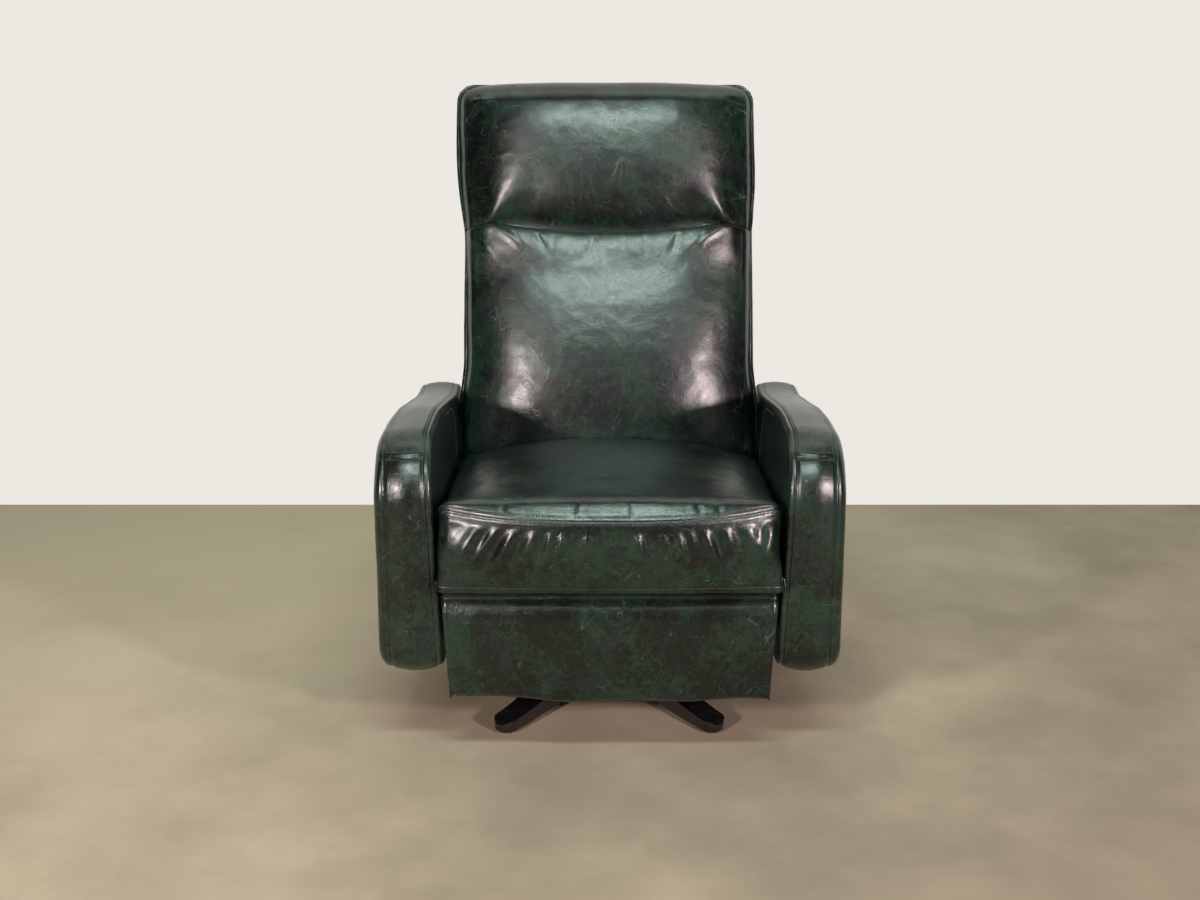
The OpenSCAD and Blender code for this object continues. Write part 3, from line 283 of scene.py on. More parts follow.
def stitches(name, paths, body, material):
    """Short raised threads along each path, a list of points and normals."""
    verts, faces = [], []
    for points, normals in paths:
        along = length_along(points)
        count = int(along[-1] / STITCH_PITCH)
        if count < 1:
            continue
        places = (np.arange(count) + 0.5) * along[-1] / count
        middle, out = spaced(points, places), spaced(normals, places)
        heading = spaced(points, places + STITCH_LENGTH / 4) - spaced(points, places - STITCH_LENGTH / 4)
        heading /= np.linalg.norm(heading, axis=1, keepdims=True) + TINY
        out /= np.linalg.norm(out, axis=1, keepdims=True) + TINY
        side = np.cross(heading, out)
        for m, h, o, s in zip(middle, heading, out, side):
            base = len(verts)
            centre = m + o * STITCH_RADIUS * THREAD_LIFT
            for place in THREAD_SHOULDERS:
                for u, v in THREAD_SIDES:
                    verts.append(centre + h * place * STITCH_LENGTH + (s * u + o * v) * STITCH_RADIUS)
            verts.append(centre - h * STITCH_LENGTH / 2 - o * STITCH_RADIUS)
            verts.append(centre + h * STITCH_LENGTH / 2 - o * STITCH_RADIUS)
            for i in range(4):
                j = (i + 1) % 4
                faces.append((base + i, base + j, base + 4 + j, base + 4 + i))
                faces.append((base + j, base + i, base + 8))
                faces.append((base + 4 + i, base + 4 + j, base + 9))
    mesh = bpy.data.meshes.new(name)
    mesh.from_pydata([tuple(v) for v in verts], [], faces)
    mesh.shade_smooth()
    piece(name, mesh, body, material)


# Shader maths

class Wire:
    """A socket in a finish. Sums and products of wires add Math nodes."""

    def __init__(self, finish, socket):
        self.finish = finish
        self.socket = socket

    def math(self, operation, first, second=0.0):
        return self.finish.node("ShaderNodeMath", {"operation": operation}, {0: first, 1: second})

    def __add__(self, other):
        return self.math("ADD", self, other)

    def __radd__(self, other):
        return self.math("ADD", other, self)

    def __sub__(self, other):
        return self.math("SUBTRACT", self, other)

    def __rsub__(self, other):
        return self.math("SUBTRACT", other, self)

    def __mul__(self, other):
        return self.math("MULTIPLY", self, other)

    def __rmul__(self, other):
        return self.math("MULTIPLY", other, self)

    def __abs__(self):
        return self.math("ABSOLUTE", self)

    def step(self, low, high):
        """0 below low, 1 above high, and a smooth rise between them."""
        return self.finish.node("ShaderNodeMapRange", {"interpolation_type": "SMOOTHSTEP"},
                                {"Value": self, "From Min": low, "From Max": high})


class Finish:
    """A material that is put together from nodes. Its own shader is a Principled one."""

    def __init__(self, name, **uniform):
        self.material = bpy.data.materials.new(name)
        self.material.use_nodes = True
        self.tree = self.material.node_tree
        self.shader = self.tree.nodes["Principled BSDF"]
        for key, value in uniform.items():
            self.shader.inputs[key.replace("_", " ")].default_value = value
        self.place = self.node("ShaderNodeTexCoord", output="Object")

    def join(self, socket, value):
        """Links a wire to a socket, or writes a value into it."""
        if isinstance(value, Wire):
            self.tree.links.new(value.socket, socket)
        else:
            socket.default_value = value

    def node(self, kind, settings=None, inputs=None, output=0):
        """New node of a type, with its settings and the values or wires of its sockets."""
        made = self.tree.nodes.new(kind)
        for key, value in (settings or {}).items():
            setattr(made, key, value)
        for key, value in (inputs or {}).items():
            self.join(made.inputs[key], value)
        return Wire(self, made.outputs[output])

    def cloudy(self, scale, detail=4.0, rough=0.55, warp=0.0, place=None):
        """Cloudy noise from 0 to 1, in spots of about a metre divided by the scale."""
        return self.node("ShaderNodeTexNoise", None, {
            "Vector": place or self.place, "Scale": scale, "Detail": detail, "Roughness": rough,
            "Distortion": warp}, output="Fac")

    def stretched(self, x, y, z, turn=0.0):
        """Places of the surface scaled by axis and turned askew, in radians."""
        return self.node("ShaderNodeMapping", None, {
            "Vector": self.place, "Scale": (x, y, z), "Rotation": (turn, turn * 0.7, turn * 1.3)})

    def blend(self, factor, a, b):
        """Colour a where the factor is 0 and b where it is 1."""
        first, second = (c if isinstance(c, Wire) else (*c, 1) for c in (a, b))
        return self.node("ShaderNodeMix", {"data_type": "RGBA"}, {0: factor, 6: first, 7: second}, output=2)

    def bump(self, height, distance, strength, under=None):
        inputs = {"Height": height, "Distance": distance, "Strength": strength}
        if under is not None:
            inputs["Normal"] = under
        return self.node("ShaderNodeBump", None, inputs)

    def set(self, **wires):
        for key, value in wires.items():
            self.join(self.shader.inputs[key.replace("_", " ")], value)
        return self.material


def toned(colour, share, lift=0.0):
    return tuple(c * share + lift for c in colour)


# Scratches: turn, scale, width of a line, and the noise above which a patch of the leather shows them
SCRATCHES = [(0.5, 46, 0.009, 0.53), (2.2, 70, 0.012, 0.53), (1.4, 30, 0.006, 0.52)]


def scratch_marks(f):
    """Thin lines in three directions, each of them in patches."""
    marks = []
    for turn, scale, width, patchy in SCRATCHES:
        place = f.node("ShaderNodeMapping", {"vector_type": "TEXTURE"}, {
            "Vector": f.place, "Scale": (1, 3, 7), "Rotation": (0.3 * turn, turn, 0.7)})
        winding = f.cloudy(scale, detail=0.6, rough=0.5, warp=0.25, place=place)
        patch = f.cloudy(scale * 0.5, detail=2, rough=0.5, place=f.stretched(1, 1, 1, turn + 1))
        marks.append((1 - abs(winding - 0.5).step(0, width)) * patch.step(patchy, patchy + 0.07))
    first, second, third = marks
    return first + second + third


def pull_up_leather(name, black, green, violet, worn):
    """Oiled leather: blotches of green, black and violet, pale scratches, and a fine grain."""
    f = Finish(name, Roughness=0.28, Specular_IOR_Level=0.62, Coat_Roughness=0.27,
               Specular_Tint=(0.90, 1.0, 0.96, 1))
    blotch = f.cloudy(34, detail=8, rough=0.72, warp=1.6)
    fibre = f.cloudy(1, detail=7, rough=0.72, warp=1.4, place=f.stretched(170, 110, 120, turn=0.6))
    drift = f.cloudy(9, detail=4, rough=0.55, warp=0.6)
    hue = f.cloudy(15, detail=5, rough=0.6, warp=1.0, place=f.stretched(1, 1, 1, turn=2.0))
    scratches = scratch_marks(f)
    tone = (blotch * 0.5 + fibre * 0.5 + 0.5 * (drift - 0.5)).step(0.43, 0.60)
    violet_share = (hue * 0.7 + drift * 0.3).step(0.52, 0.64) * (1 - 0.6 * tone)
    colour = f.blend(tone, black, green)
    colour = f.blend(violet_share, colour, violet)
    colour = f.blend((scratches * (0.16 + 0.62 * fibre)).step(0, 1), colour, worn)
    crackle = f.node("ShaderNodeTexVoronoi", {"feature": "DISTANCE_TO_EDGE"}, {
        "Vector": f.place, "Scale": 260, "Randomness": 1.0}, output="Distance")
    pores = f.cloudy(1100, detail=3, rough=0.6)
    creases = f.cloudy(46, detail=5, rough=0.6, warp=1.0)
    relief = f.bump(crackle.step(0, 0.12), distance=0.00022, strength=0.3)
    relief = f.bump(pores, distance=0.00015, strength=0.25, under=relief)
    relief = f.bump(creases, distance=0.0010, strength=0.45, under=relief)
    relief = f.bump(1 - scratches, distance=0.0003, strength=0.15, under=relief)
    return f.set(Base_Color=colour, Coat_Weight=0.06 + 1.2 * (fibre - 0.5), Normal=relief)


def sewing_thread(name, colour):
    f = Finish(name, Specular_IOR_Level=0.35)
    twist = f.cloudy(900, detail=2, rough=0.5)
    shade = f.blend(twist.step(0.3, 0.7), toned(colour, 0.6), colour)
    relief = f.bump(twist, distance=0.0002, strength=0.5)
    return f.set(Base_Color=shade, Roughness=0.55 + 0.2 * twist, Normal=relief)


def painted_steel(name, colour, rough, coat):
    f = Finish(name, Coat_Weight=coat, Coat_Roughness=0.08)
    worn = f.cloudy(60, detail=5, rough=0.6)
    peel = f.cloudy(420, detail=2, rough=0.5)
    shade = f.blend(worn.step(0.55, 0.8), colour, toned(colour, 2.2, lift=0.01))
    relief = f.bump(peel, distance=0.0002, strength=0.12)
    return f.set(Base_Color=shade, Roughness=rough + 0.12 * (worn - 0.5), Normal=relief)


def bare_steel(name, colour, rough):
    f = Finish(name, Metallic=1.0)
    brushed = f.cloudy(14, detail=4, rough=0.6, place=f.stretched(3, 60, 60))
    stain = f.cloudy(22, detail=5, rough=0.6)
    shade = f.blend(stain.step(0.4, 0.75), colour, toned(colour, 0.62))
    relief = f.bump(brushed, distance=0.0002, strength=0.2)
    return f.set(Base_Color=shade, Roughness=rough + 0.2 * (brushed - 0.5), Normal=relief)


def sawn_wood(name, pale, dark):
    f = Finish(name, Specular_IOR_Level=0.3)
    place = f.stretched(1.2, 14, 14)
    grain = f.cloudy(9, detail=6, rough=0.62, warp=0.8, place=place)
    fibre = f.cloudy(60, detail=3, rough=0.6, place=place)
    shade = f.blend((grain * 0.7 + fibre * 0.3).step(0.38, 0.64), pale, dark)
    relief = f.bump(grain + fibre * 0.5, distance=0.0006, strength=0.5)
    return f.set(Base_Color=shade, Roughness=0.6 + 0.2 * fibre, Normal=relief)


def woven_webbing(name, colour):
    f = Finish(name, Specular_IOR_Level=0.2)
    threads = []
    for direction, scale in (("X", 110), ("Z", 90)):
        threads.append(f.node("ShaderNodeTexWave", {"bands_direction": direction}, {
            "Vector": f.place, "Scale": scale, "Distortion": 0.4, "Detail": 1}, output="Fac"))
    weave = threads[0] * threads[1]
    shade = f.blend(weave, toned(colour, 0.4), colour)
    relief = f.bump(weave, distance=0.0008, strength=0.7)
    return f.set(Base_Color=shade, Roughness=0.8 + 0.1 * weave, Normal=relief)


def moulded_plastic(name, colour):
    f = Finish(name, Specular_IOR_Level=0.4)
    grain = f.cloudy(700, detail=3, rough=0.6)
    shade = f.blend(grain, colour, toned(colour, 1.8))
    relief = f.bump(grain, distance=0.0002, strength=0.4)
    return f.set(Base_Color=shade, Roughness=0.5 + 0.15 * grain, Normal=relief)


leather = pull_up_leather(
    "green_pull_up_leather", black=(0.0010, 0.0019, 0.0016), green=(0.0062, 0.0225, 0.0130),
    violet=(0.0070, 0.0066, 0.0115), worn=(0.055, 0.095, 0.070))
thread = sewing_thread("green_thread", (0.060, 0.105, 0.078))
tan_thread = sewing_thread("tan_thread", (0.13, 0.12, 0.085))
# Finish and edge radius of each hard piece, by its material slot
FINISHES = {
    "gloss_black": (painted_steel("gloss_black_enamel", (0.006, 0.006, 0.007), 0.16, 0.6), 0.0018),
    "black_steel": (painted_steel("black_powder_coat", (0.012, 0.012, 0.013), 0.42, 0.0), 0.0005),
    "steel": (bare_steel("rolled_steel", (0.50, 0.51, 0.53), 0.38), 0.0005),
    "zinc": (bare_steel("zinc_plate", (0.66, 0.66, 0.62), 0.30), 0.0004),
    "wood": (sawn_wood("birch_plywood", (0.52, 0.36, 0.20), (0.34, 0.20, 0.10)), 0.0012),
    "webbing": (woven_webbing("elastic_webbing", (0.05, 0.05, 0.055)), 0.0004),
    "glide_plastic": (moulded_plastic("glide_plastic", (0.02, 0.02, 0.021)), 0.0004),
    "leather": (leather, None)}


def finish_hard_pieces():
    """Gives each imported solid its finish, and the hard ones a small worn edge."""
    slots = {row["node"]: row["material_slot"] for row in frame["record"]["subparts"]}
    for name, node in nodes.items():
        finish, edge = FINISHES[slots[name]]
        node.data.materials.clear()
        node.data.materials.append(finish)
        if edge is None:
            continue
        bevel = node.modifiers.new("edge", "BEVEL")
        bevel.width = edge
        bevel.segments = 2
        bevel.limit_method = "ANGLE"
        bevel.angle_limit = math.radians(40)
        bevel.harden_normals = True
        node.data.shade_smooth()


# Seat cushion

seat_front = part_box("seat_cushion")[0].y
seat_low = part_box("seat_cushion")[0].z
seat_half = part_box("footrest_pad")[1].x
# The boxed front: its height, how far its seam stands out, and the runs of leather behind and below the seam
SEAT_BOXING = 0.125
SEAT_PROUD = 0.0017
SEAT_TOP_RUN = 0.524
SEAT_FRONT_RUN = 0.1405
FRONT_WEAVE = 0.0034
# The hem: where it is sewn, how far it hangs and lies back, and its fold. Its groove is a shallow one
SEAT_HEM_AT = 0.124
SEAT_HEM = 0.0125
SEAT_CHIN_BACK = 0.028
SEAT_HEM_FOLD = 0.006
HEM_GROOVE_SHARE = 0.6
# The steep strip behind the front seam: how far it reaches, its slope, and how softly it ends
SEAT_BREAK = 0.0245
SEAT_SLOPE = 1.40
SEAT_SOFT = 0.008
# Towards the sides the seat drops, its front bows back, and its strip gets shorter
SEAT_SIDE_DROP = 0.024
SEAT_DROP_REACH = 0.08
SEAT_BOW = 0.043
SEAT_DIP = 0.011
SEAT_STRIP_LOSS = 0.80
# The seat's fullness on top, at the rear, in front and above the hem, and its rounded sides
SEAT_CROWN = 0.008
SEAT_REAR_ROUND = 0.030
SEAT_BELLY = 0.015
SEAT_HEM_BELLY = 0.004
SEAT_EDGE = 0.016
SEAT_SIDE_BULGE = 0.002
# The front is wider low down, and its stitches end just before its sides
SEAT_FLARE = 0.008
SEAT_FLARE_FROM = 0.014
SEAT_FLARE_RUN = 0.010
SEWN_SHARE = 0.985
# The rear of the seat leans back from its foot to its top
SEAT_REAR_FOOT_Y = 0.062
SEAT_REAR_TOP_Y = 0.090
SEAT_REAR_HEIGHT = 0.0995
seat_seam = np.array([seat_front - SEAT_PROUD, seat_low + SEAT_BOXING])
seat_chin = np.array([seat_seam[0] + SEAT_CHIN_BACK, seat_low - SEAT_HEM])
seat_rear_low = np.array([SEAT_REAR_FOOT_Y, seat_low])
seat_rear_top = np.array([SEAT_REAR_TOP_Y, seat_low + SEAT_REAR_HEIGHT])
seat_behind = stations(0, SEAT_TOP_RUN, WEAVE, [SEAT_TOP_RUN])
seat_ahead = seat_behind[-1] - seat_behind
seat_below = stations(0, SEAT_FRONT_RUN, FRONT_WEAVE, [0, SEAT_HEM_AT])


def seat_rise(ahead):
    """Height of the seat's top panel behind its front seam: a steep strip, and then nearly level."""
    steep = SEAT_SLOPE * np.minimum(ahead, SEAT_BREAK - SEAT_SOFT)
    over = np.maximum(0, ahead - SEAT_BREAK + SEAT_SOFT)
    return steep + SEAT_SLOPE * SEAT_SOFT * (1 - np.exp(-over / SEAT_SOFT))


def seat_ring(u):
    """Side outline of the seat at a share u of its half width: under, up the rear, over and down."""
    bow = abs(u) ** 2.6
    seam = seat_seam + np.array([SEAT_BOW * bow, SEAT_DIP * bow])
    side_drop = SEAT_SIDE_DROP * abs(u) ** 2.8
    rear_top = seat_rear_top - np.array([0, side_drop])
    behind_hem = np.array([seat_chin[0] + SEAT_HEM_FOLD, seat_low])
    under = np.concatenate([mix(seat_chin, behind_hem, np.linspace(0, 1, 6)[1:-1, None]),
                            mix(behind_hem, seat_rear_low, np.linspace(0, 1, 66)[:, None])])
    rear = mix(seat_rear_low, rear_top, np.linspace(0, 1, 24)[1:-1, None])
    t = seat_behind / seat_behind[-1]
    top = mix(rear_top, seam, t[:, None])
    strip = 1 - SEAT_STRIP_LOSS * abs(u) ** 2.4
    rise = strip * seat_rise(seat_ahead / strip) + SEAT_CROWN * np.sin(np.pi * t)
    drop = side_drop * (1 - np.exp(-(seat_ahead / SEAT_DROP_REACH) ** 2)) * t
    top[:, 1] += rise * (1 - np.exp(-seat_behind / SEAT_REAR_ROUND)) - drop
    s = (seat_below / seat_below[-1])[1:]
    front = mix(seam, seat_chin, s[:, None])
    belly = SEAT_BELLY * np.sin(np.pi * np.minimum(1, s * 0.98)) ** 0.75 * (1 - 0.4 * u * u)
    hem_belly = SEAT_HEM_BELLY * smooth(s * 2.2 - 1.2) * (1 - smooth((s - 0.93) / 0.07))
    front[:, 0] -= belly + hem_belly
    return np.concatenate([under, rear, top, front[:-1]])


def seat_width(points):
    """Half width of the seat, which flares below its front seam."""
    fore = np.clip((seat_chin[0] + SEAT_FLARE_FROM - points[:, 0]) / SEAT_FLARE_RUN, 0, 1)
    lift = (points[:, 1] - seat_low) / SEAT_BOXING
    return seat_half + fore * SEAT_FLARE * (1 - lift * 1.6)


# Folds below the seat's front seam: place along the seam, lean, length, width and height
SEAT_FOLDS = [(-0.89, -0.10, 0.0750, 0.0418, 0.00756), (-0.77, -0.42, 0.0775, 0.0190, 0.00684),
              (-0.66, -0.55, 0.0750, 0.0133, 0.00648), (-0.55, -0.48, 0.0825, 0.0171, 0.00756),
              (-0.43, -0.42, 0.0725, 0.0171, 0.00648), (-0.335, -0.22, 0.0775, 0.0114, 0.00720),
              (-0.27, -0.20, 0.0675, 0.0114, 0.00648), (-0.13, -0.08, 0.0625, 0.0114, 0.00504),
              (0.155, 0.16, 0.0600, 0.0114, 0.00720), (0.30, 0.20, 0.0550, 0.0152, 0.00360),
              (0.385, 0.24, 0.0700, 0.0152, 0.00576), (0.46, 0.26, 0.0500, 0.0114, 0.00396),
              (0.545, 0.30, 0.0800, 0.0152, 0.00756), (0.67, 0.22, 0.0500, 0.0152, 0.00396),
              (0.80, 0.34, 0.0650, 0.0190, 0.00468), (0.93, -0.10, 0.0750, 0.0171, 0.00828)]
SEAT_FOLD_START = 0.017
# Short puckers behind the seam, on the top panel
TOP_PUCKERS = [(-0.62, 0.12, 0.026, 0.006, 0.0016), (-0.22, 0.3, 0.026, 0.007, 0.0016),
               (-0.15, 0.1, 0.022, 0.005, 0.0012), (0.13, 0.0, 0.022, 0.006, 0.0012),
               (0.52, -0.3, 0.024, 0.007, 0.0014), (0.63, -0.2, 0.026, 0.007, 0.0016)]
PUCKER_START = 0.003
# Rows of a cushion's flat side, as shares of its outline
PANEL_SHARES = np.linspace(0.04, 1, 13)[:-1]


def edge_rows(half, edge):
    """Shares across, and how far in the outline is, round one side's edge."""
    return [(1 - edge * (1 - math.cos(a)) / half, edge * (1 - math.sin(a))) for a in quarter_turn(7)]


def cushion_rows(ring_at, width_at, half, edge, centre, bulge, across):
    """Rows of a whole cushion from one side to the other, and the share across of each."""
    rims = edge_rows(half, edge)
    sides = {}
    for side in (-1, 1):
        whole = ring_at(side)
        panel = within(inset(whole, edge), whole)
        sides[side] = []
        for share in PANEL_SHARES:
            ring = shrunk(panel, centre, share)
            sides[side].append(row_at(side * (width_at(ring) + bulge * (1 - share ** 2)), ring))
        for share, depth in rims:
            whole = ring_at(side * share)
            ring = within(inset(whole, depth), whole)
            sides[side].append(row_at(side * share * width_at(ring), ring))
    between = across[np.abs(across) < rims[-1][0]]
    middle = []
    for share in between:
        ring = ring_at(share)
        middle.append(row_at(share * width_at(ring), ring))
    side_shares = [1] * len(PANEL_SHARES) + [share for share, _ in rims]
    places = [-share for share in side_shares] + list(between) + side_shares[::-1]
    return sides[-1] + middle + sides[1][::-1], np.array(places)


def seat_cushion():
    across = stations(-1, 1, WEAVE / seat_half)
    centre = np.array([(seat_chin[0] + seat_rear_low[0]) / 2, seat_low + SEAT_BOXING / 2])
    rows, places = cushion_rows(seat_ring, seat_width, seat_half, SEAT_EDGE, centre, SEAT_SIDE_BULGE, across)
    cover = Cover(rows)
    count = cover.points.shape[1]
    seam_column = count - len(seat_below) + 1
    below, ahead = np.full(count, FAR), np.full(count, FAR)
    below[seam_column:] = seat_below[:-1]
    ahead[seam_column - len(seat_ahead) + 1:seam_column + 1] = seat_ahead
    lift = np.zeros(cover.points.shape[:2])
    lift += seam_dip(np.where(below < FAR, below, ahead))
    lift += seam_dip(below - SEAT_HEM_AT) * HEM_GROOVE_SHARE
    x = cover.points[..., 0]
    for at, *form in SEAT_FOLDS:
        lift += fold(x, below, at * seat_half, SEAT_FOLD_START, *form)
    for at, *form in TOP_PUCKERS:
        lift -= fold(x, ahead, at * seat_half, PUCKER_START, *form)
    lift += rumple(cover.points, 0.055, 0.0011, seed=1) + rumple(cover.points, 0.018, 0.0003, seed=2)
    off_underside = (cover.points[..., 2] > seat_low + 0.004) | (cover.points[..., 1] < seat_chin[0] - 0.001)
    cover.push(lift * off_underside)
    made = piece("seat_cushion_cover", cover.mesh("seat_cushion_cover"), "chassis", leather)
    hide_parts("seat_cushion")
    sewn = np.flatnonzero(np.abs(places) < SEWN_SHARE)
    rows_sewn = np.linspace(sewn[0], sewn[-1], 400)

    def line_of_stitches(column):
        return cover.at(rows_sewn, np.full(len(rows_sewn), column))

    def columns_below(distance):
        return seam_column + np.interp(distance, seat_below, np.arange(len(seat_below)))

    columns_ahead = np.interp(STITCH_SPREAD / 2, seat_ahead[::-1], np.arange(len(seat_ahead)))
    front_rows = [line_of_stitches(columns_below(STITCH_SPREAD / 2)),
                  line_of_stitches(seam_column - columns_ahead)]
    stitches("seat_front_stitches", front_rows, "chassis", thread)
    stitches("seat_hem_stitches", [line_of_stitches(columns_below(SEAT_HEM_AT))], "chassis", tan_thread)


# Arms

ARM_LEAN = math.radians(2)
ARM_SET_BACK = 0.0015
ARM_BELOW_SEAM = 0.284
ARM_GAP = 0.010
ARM_THICK = 0.103
ARM_EDGE = 0.009
ARM_BAND = 0.072
ARM_BULGE = ARM_THICK - ARM_EDGE - ARM_BAND
ARM_LENGTH = 0.650
ARM_HEIGHT = 0.404
# Beyond its core an arm is thinner all over, and gets thinner still rearwards and upwards
ARM_CORE = 0.020
ARM_THINNER = 0.03
ARM_TAPER = 0.16
ARM_UP_TAPER = 0.50
# How far the inner panel stands out in front and behind, and where it changes
ARM_PAD = 0.0062
ARM_REAR_PAD = 0.001
ARM_PAD_END = 0.02
# The band swells between its seams, most on the nose, and a seam crosses it there
BAND_SWELL = 0.0042
NOSE_SWELL = 0.0088
NOSE_DEPTH = 0.06
NOSE_SWELL_END = 0.10
NOSE_SWELL_FADE = 0.06
CROSS_SEAM_UP = 0.376
CROSS_SEAM_BOW = 0.006
BAND_FADE = 0.004
# The rounded edge beyond the band takes this share of the arm's bulge, and the outer panel the rest
EDGE_SHARE = 0.86
arm_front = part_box("left_arm_cover")[0].y + ARM_SET_BACK
arm_bottom = seat_seam[1] - ARM_BELOW_SEAM
arm_inner = seat_half + ARM_GAP
arm_middle = np.array([arm_front + ARM_LENGTH / 2, arm_bottom + 0.47 * ARM_HEIGHT])
band_seams = [ARM_EDGE, ARM_EDGE + ARM_BAND]


def arm_outline():
    crest, rear = arm_bottom + ARM_HEIGHT, arm_front + ARM_LENGTH
    return rounded([
        (arm_front, arm_bottom, 0.054), (rear, arm_bottom, 0.038),
        (rear, arm_bottom + 0.880 * ARM_HEIGHT, 0.034),
        (arm_front + 0.86 * ARM_LENGTH, arm_bottom + 0.865 * ARM_HEIGHT, 0.420),
        (arm_front + 0.36 * ARM_LENGTH, crest, 0.900), (arm_front, crest, 0.104)], 40)


def arm_place(points, side):
    """Leans an arm in about the level of the seat's seam, and puts it on its side of the chair."""
    x, y, z = points[..., 0], points[..., 1], points[..., 2] - seat_seam[1]
    outer = np.maximum(0, x - ARM_CORE)
    x = x - outer * ARM_TAPER * (y - arm_front) / ARM_LENGTH - outer * (ARM_UP_TAPER * z + ARM_THINNER)
    leaned = x * math.cos(ARM_LEAN) + z * math.sin(ARM_LEAN)
    up = z * math.cos(ARM_LEAN) - x * math.sin(ARM_LEAN)
    return np.stack([side * (arm_inner + leaned), y, up + seat_seam[1]], axis=-1)


# Seam across the arm's inner panel, as y and z
ARM_PANEL_SEAM = np.array([(-0.110, 0.566), (-0.070, 0.561), (-0.025, 0.551), (0.015, 0.535), (0.048, 0.512),
                           (0.070, 0.480), (0.080, 0.440), (0.082, 0.395), (0.082, 0.350)])
ARM_PANEL_SHARES = np.linspace(0.03, 1, 22)[:-1]


def arm_ring():
    """Outline of an arm, its places along the outline, and the place of the seam across the band."""
    outline = arm_outline()
    closed = np.concatenate([outline, outline[:1]])
    along = length_along(closed)
    nose = (closed[:, 0] < arm_front + NOSE_DEPTH) & (closed[:, 1] > arm_middle[1])
    from_seam = np.abs(closed[nose, 1] - (arm_bottom + CROSS_SEAM_UP))
    cross_at = float(along[nose][np.argmin(from_seam)])
    places = stations(0, along[-1], WEAVE, [cross_at])[:-1]
    return spaced(closed, places), places, cross_at


def arm_rows(ring):
    """Rows of an arm from its inner panel over the band to its outer panel, and their offsets across."""
    flat, dome = inset(ring, ARM_EDGE), inset(ring, ARM_BULGE)
    outer = ARM_EDGE + ARM_BAND
    rows, offsets = [], []
    for share in ARM_PANEL_SHARES:
        panel = shrunk(flat, arm_middle, share)
        pad = np.where(panel[:, 0] < ARM_PAD_END, ARM_PAD, ARM_REAR_PAD) * (1 - share ** 4)
        rows.append(row_at(-pad, panel))
        offsets.append(-1)
    for a in quarter_turn(9)[:-1]:
        x = ARM_EDGE * (1 - math.cos(a))
        rows.append(row_at(x, inset(ring, ARM_EDGE * (1 - math.sin(a)))))
        offsets.append(x)
    near_nose = smooth((arm_front + NOSE_SWELL_END - ring[:, 0]) / NOSE_SWELL_FADE)[:, None]
    for x in stations(*band_seams, WEAVE, band_seams):
        t = (x - ARM_EDGE) / ARM_BAND
        swell = math.sin(math.pi * t) ** 0.8 if 0 < t < 1 else 0
        band = mix(inset(ring, -BAND_SWELL * swell), inset(ring, -NOSE_SWELL * swell), near_nose)
        rows.append(row_at(x, band))
        offsets.append(x)
    for a in quarter_turn(16)[1:]:
        x = outer + ARM_BULGE * EDGE_SHARE * math.sin(a)
        rows.append(row_at(x, inset(ring, ARM_BULGE * (1 - math.cos(a)))))
        offsets.append(x)
    for share in np.linspace(1, 0.03, 30)[1:]:
        x = outer + ARM_BULGE * (EDGE_SHARE + (1 - EDGE_SHARE) * (1 - share ** 2))
        rows.append(row_at(x, shrunk(dome, arm_middle, share)))
        offsets.append(FAR)
    return np.array(rows), np.array(offsets)


def arm_panel_seam(cover, ring):
    """Points and normals of the seam on the arm's inner panel."""
    along = length_along(ARM_PANEL_SEAM)
    line = spaced(ARM_PANEL_SEAM, np.linspace(0, along[-1], 200))
    reach = inset(ring, ARM_EDGE) - arm_middle
    angles = np.arctan2(reach[:, 1], reach[:, 0])
    found_rows, found_columns = [], []
    for point in line - arm_middle:
        turn = (angles - math.atan2(point[1], point[0]) + math.pi) % (2 * math.pi) - math.pi
        column = int(np.argmin(np.abs(turn)))
        after = (column + 1) % len(turn)
        step = 1 if turn[column] * (turn[after] - turn[column]) < 0 else -1
        neighbour = (column + step) % len(turn)
        part = turn[column] / (turn[column] - turn[neighbour] + TINY)
        rim = mix(np.linalg.norm(reach[column]), np.linalg.norm(reach[neighbour]), part)
        share = np.linalg.norm(point) / rim
        found_columns.append(column + step * part)
        found_rows.append(np.interp(share, ARM_PANEL_SHARES, np.arange(len(ARM_PANEL_SHARES))))
    return cover.at(np.array(found_rows), np.array(found_columns))


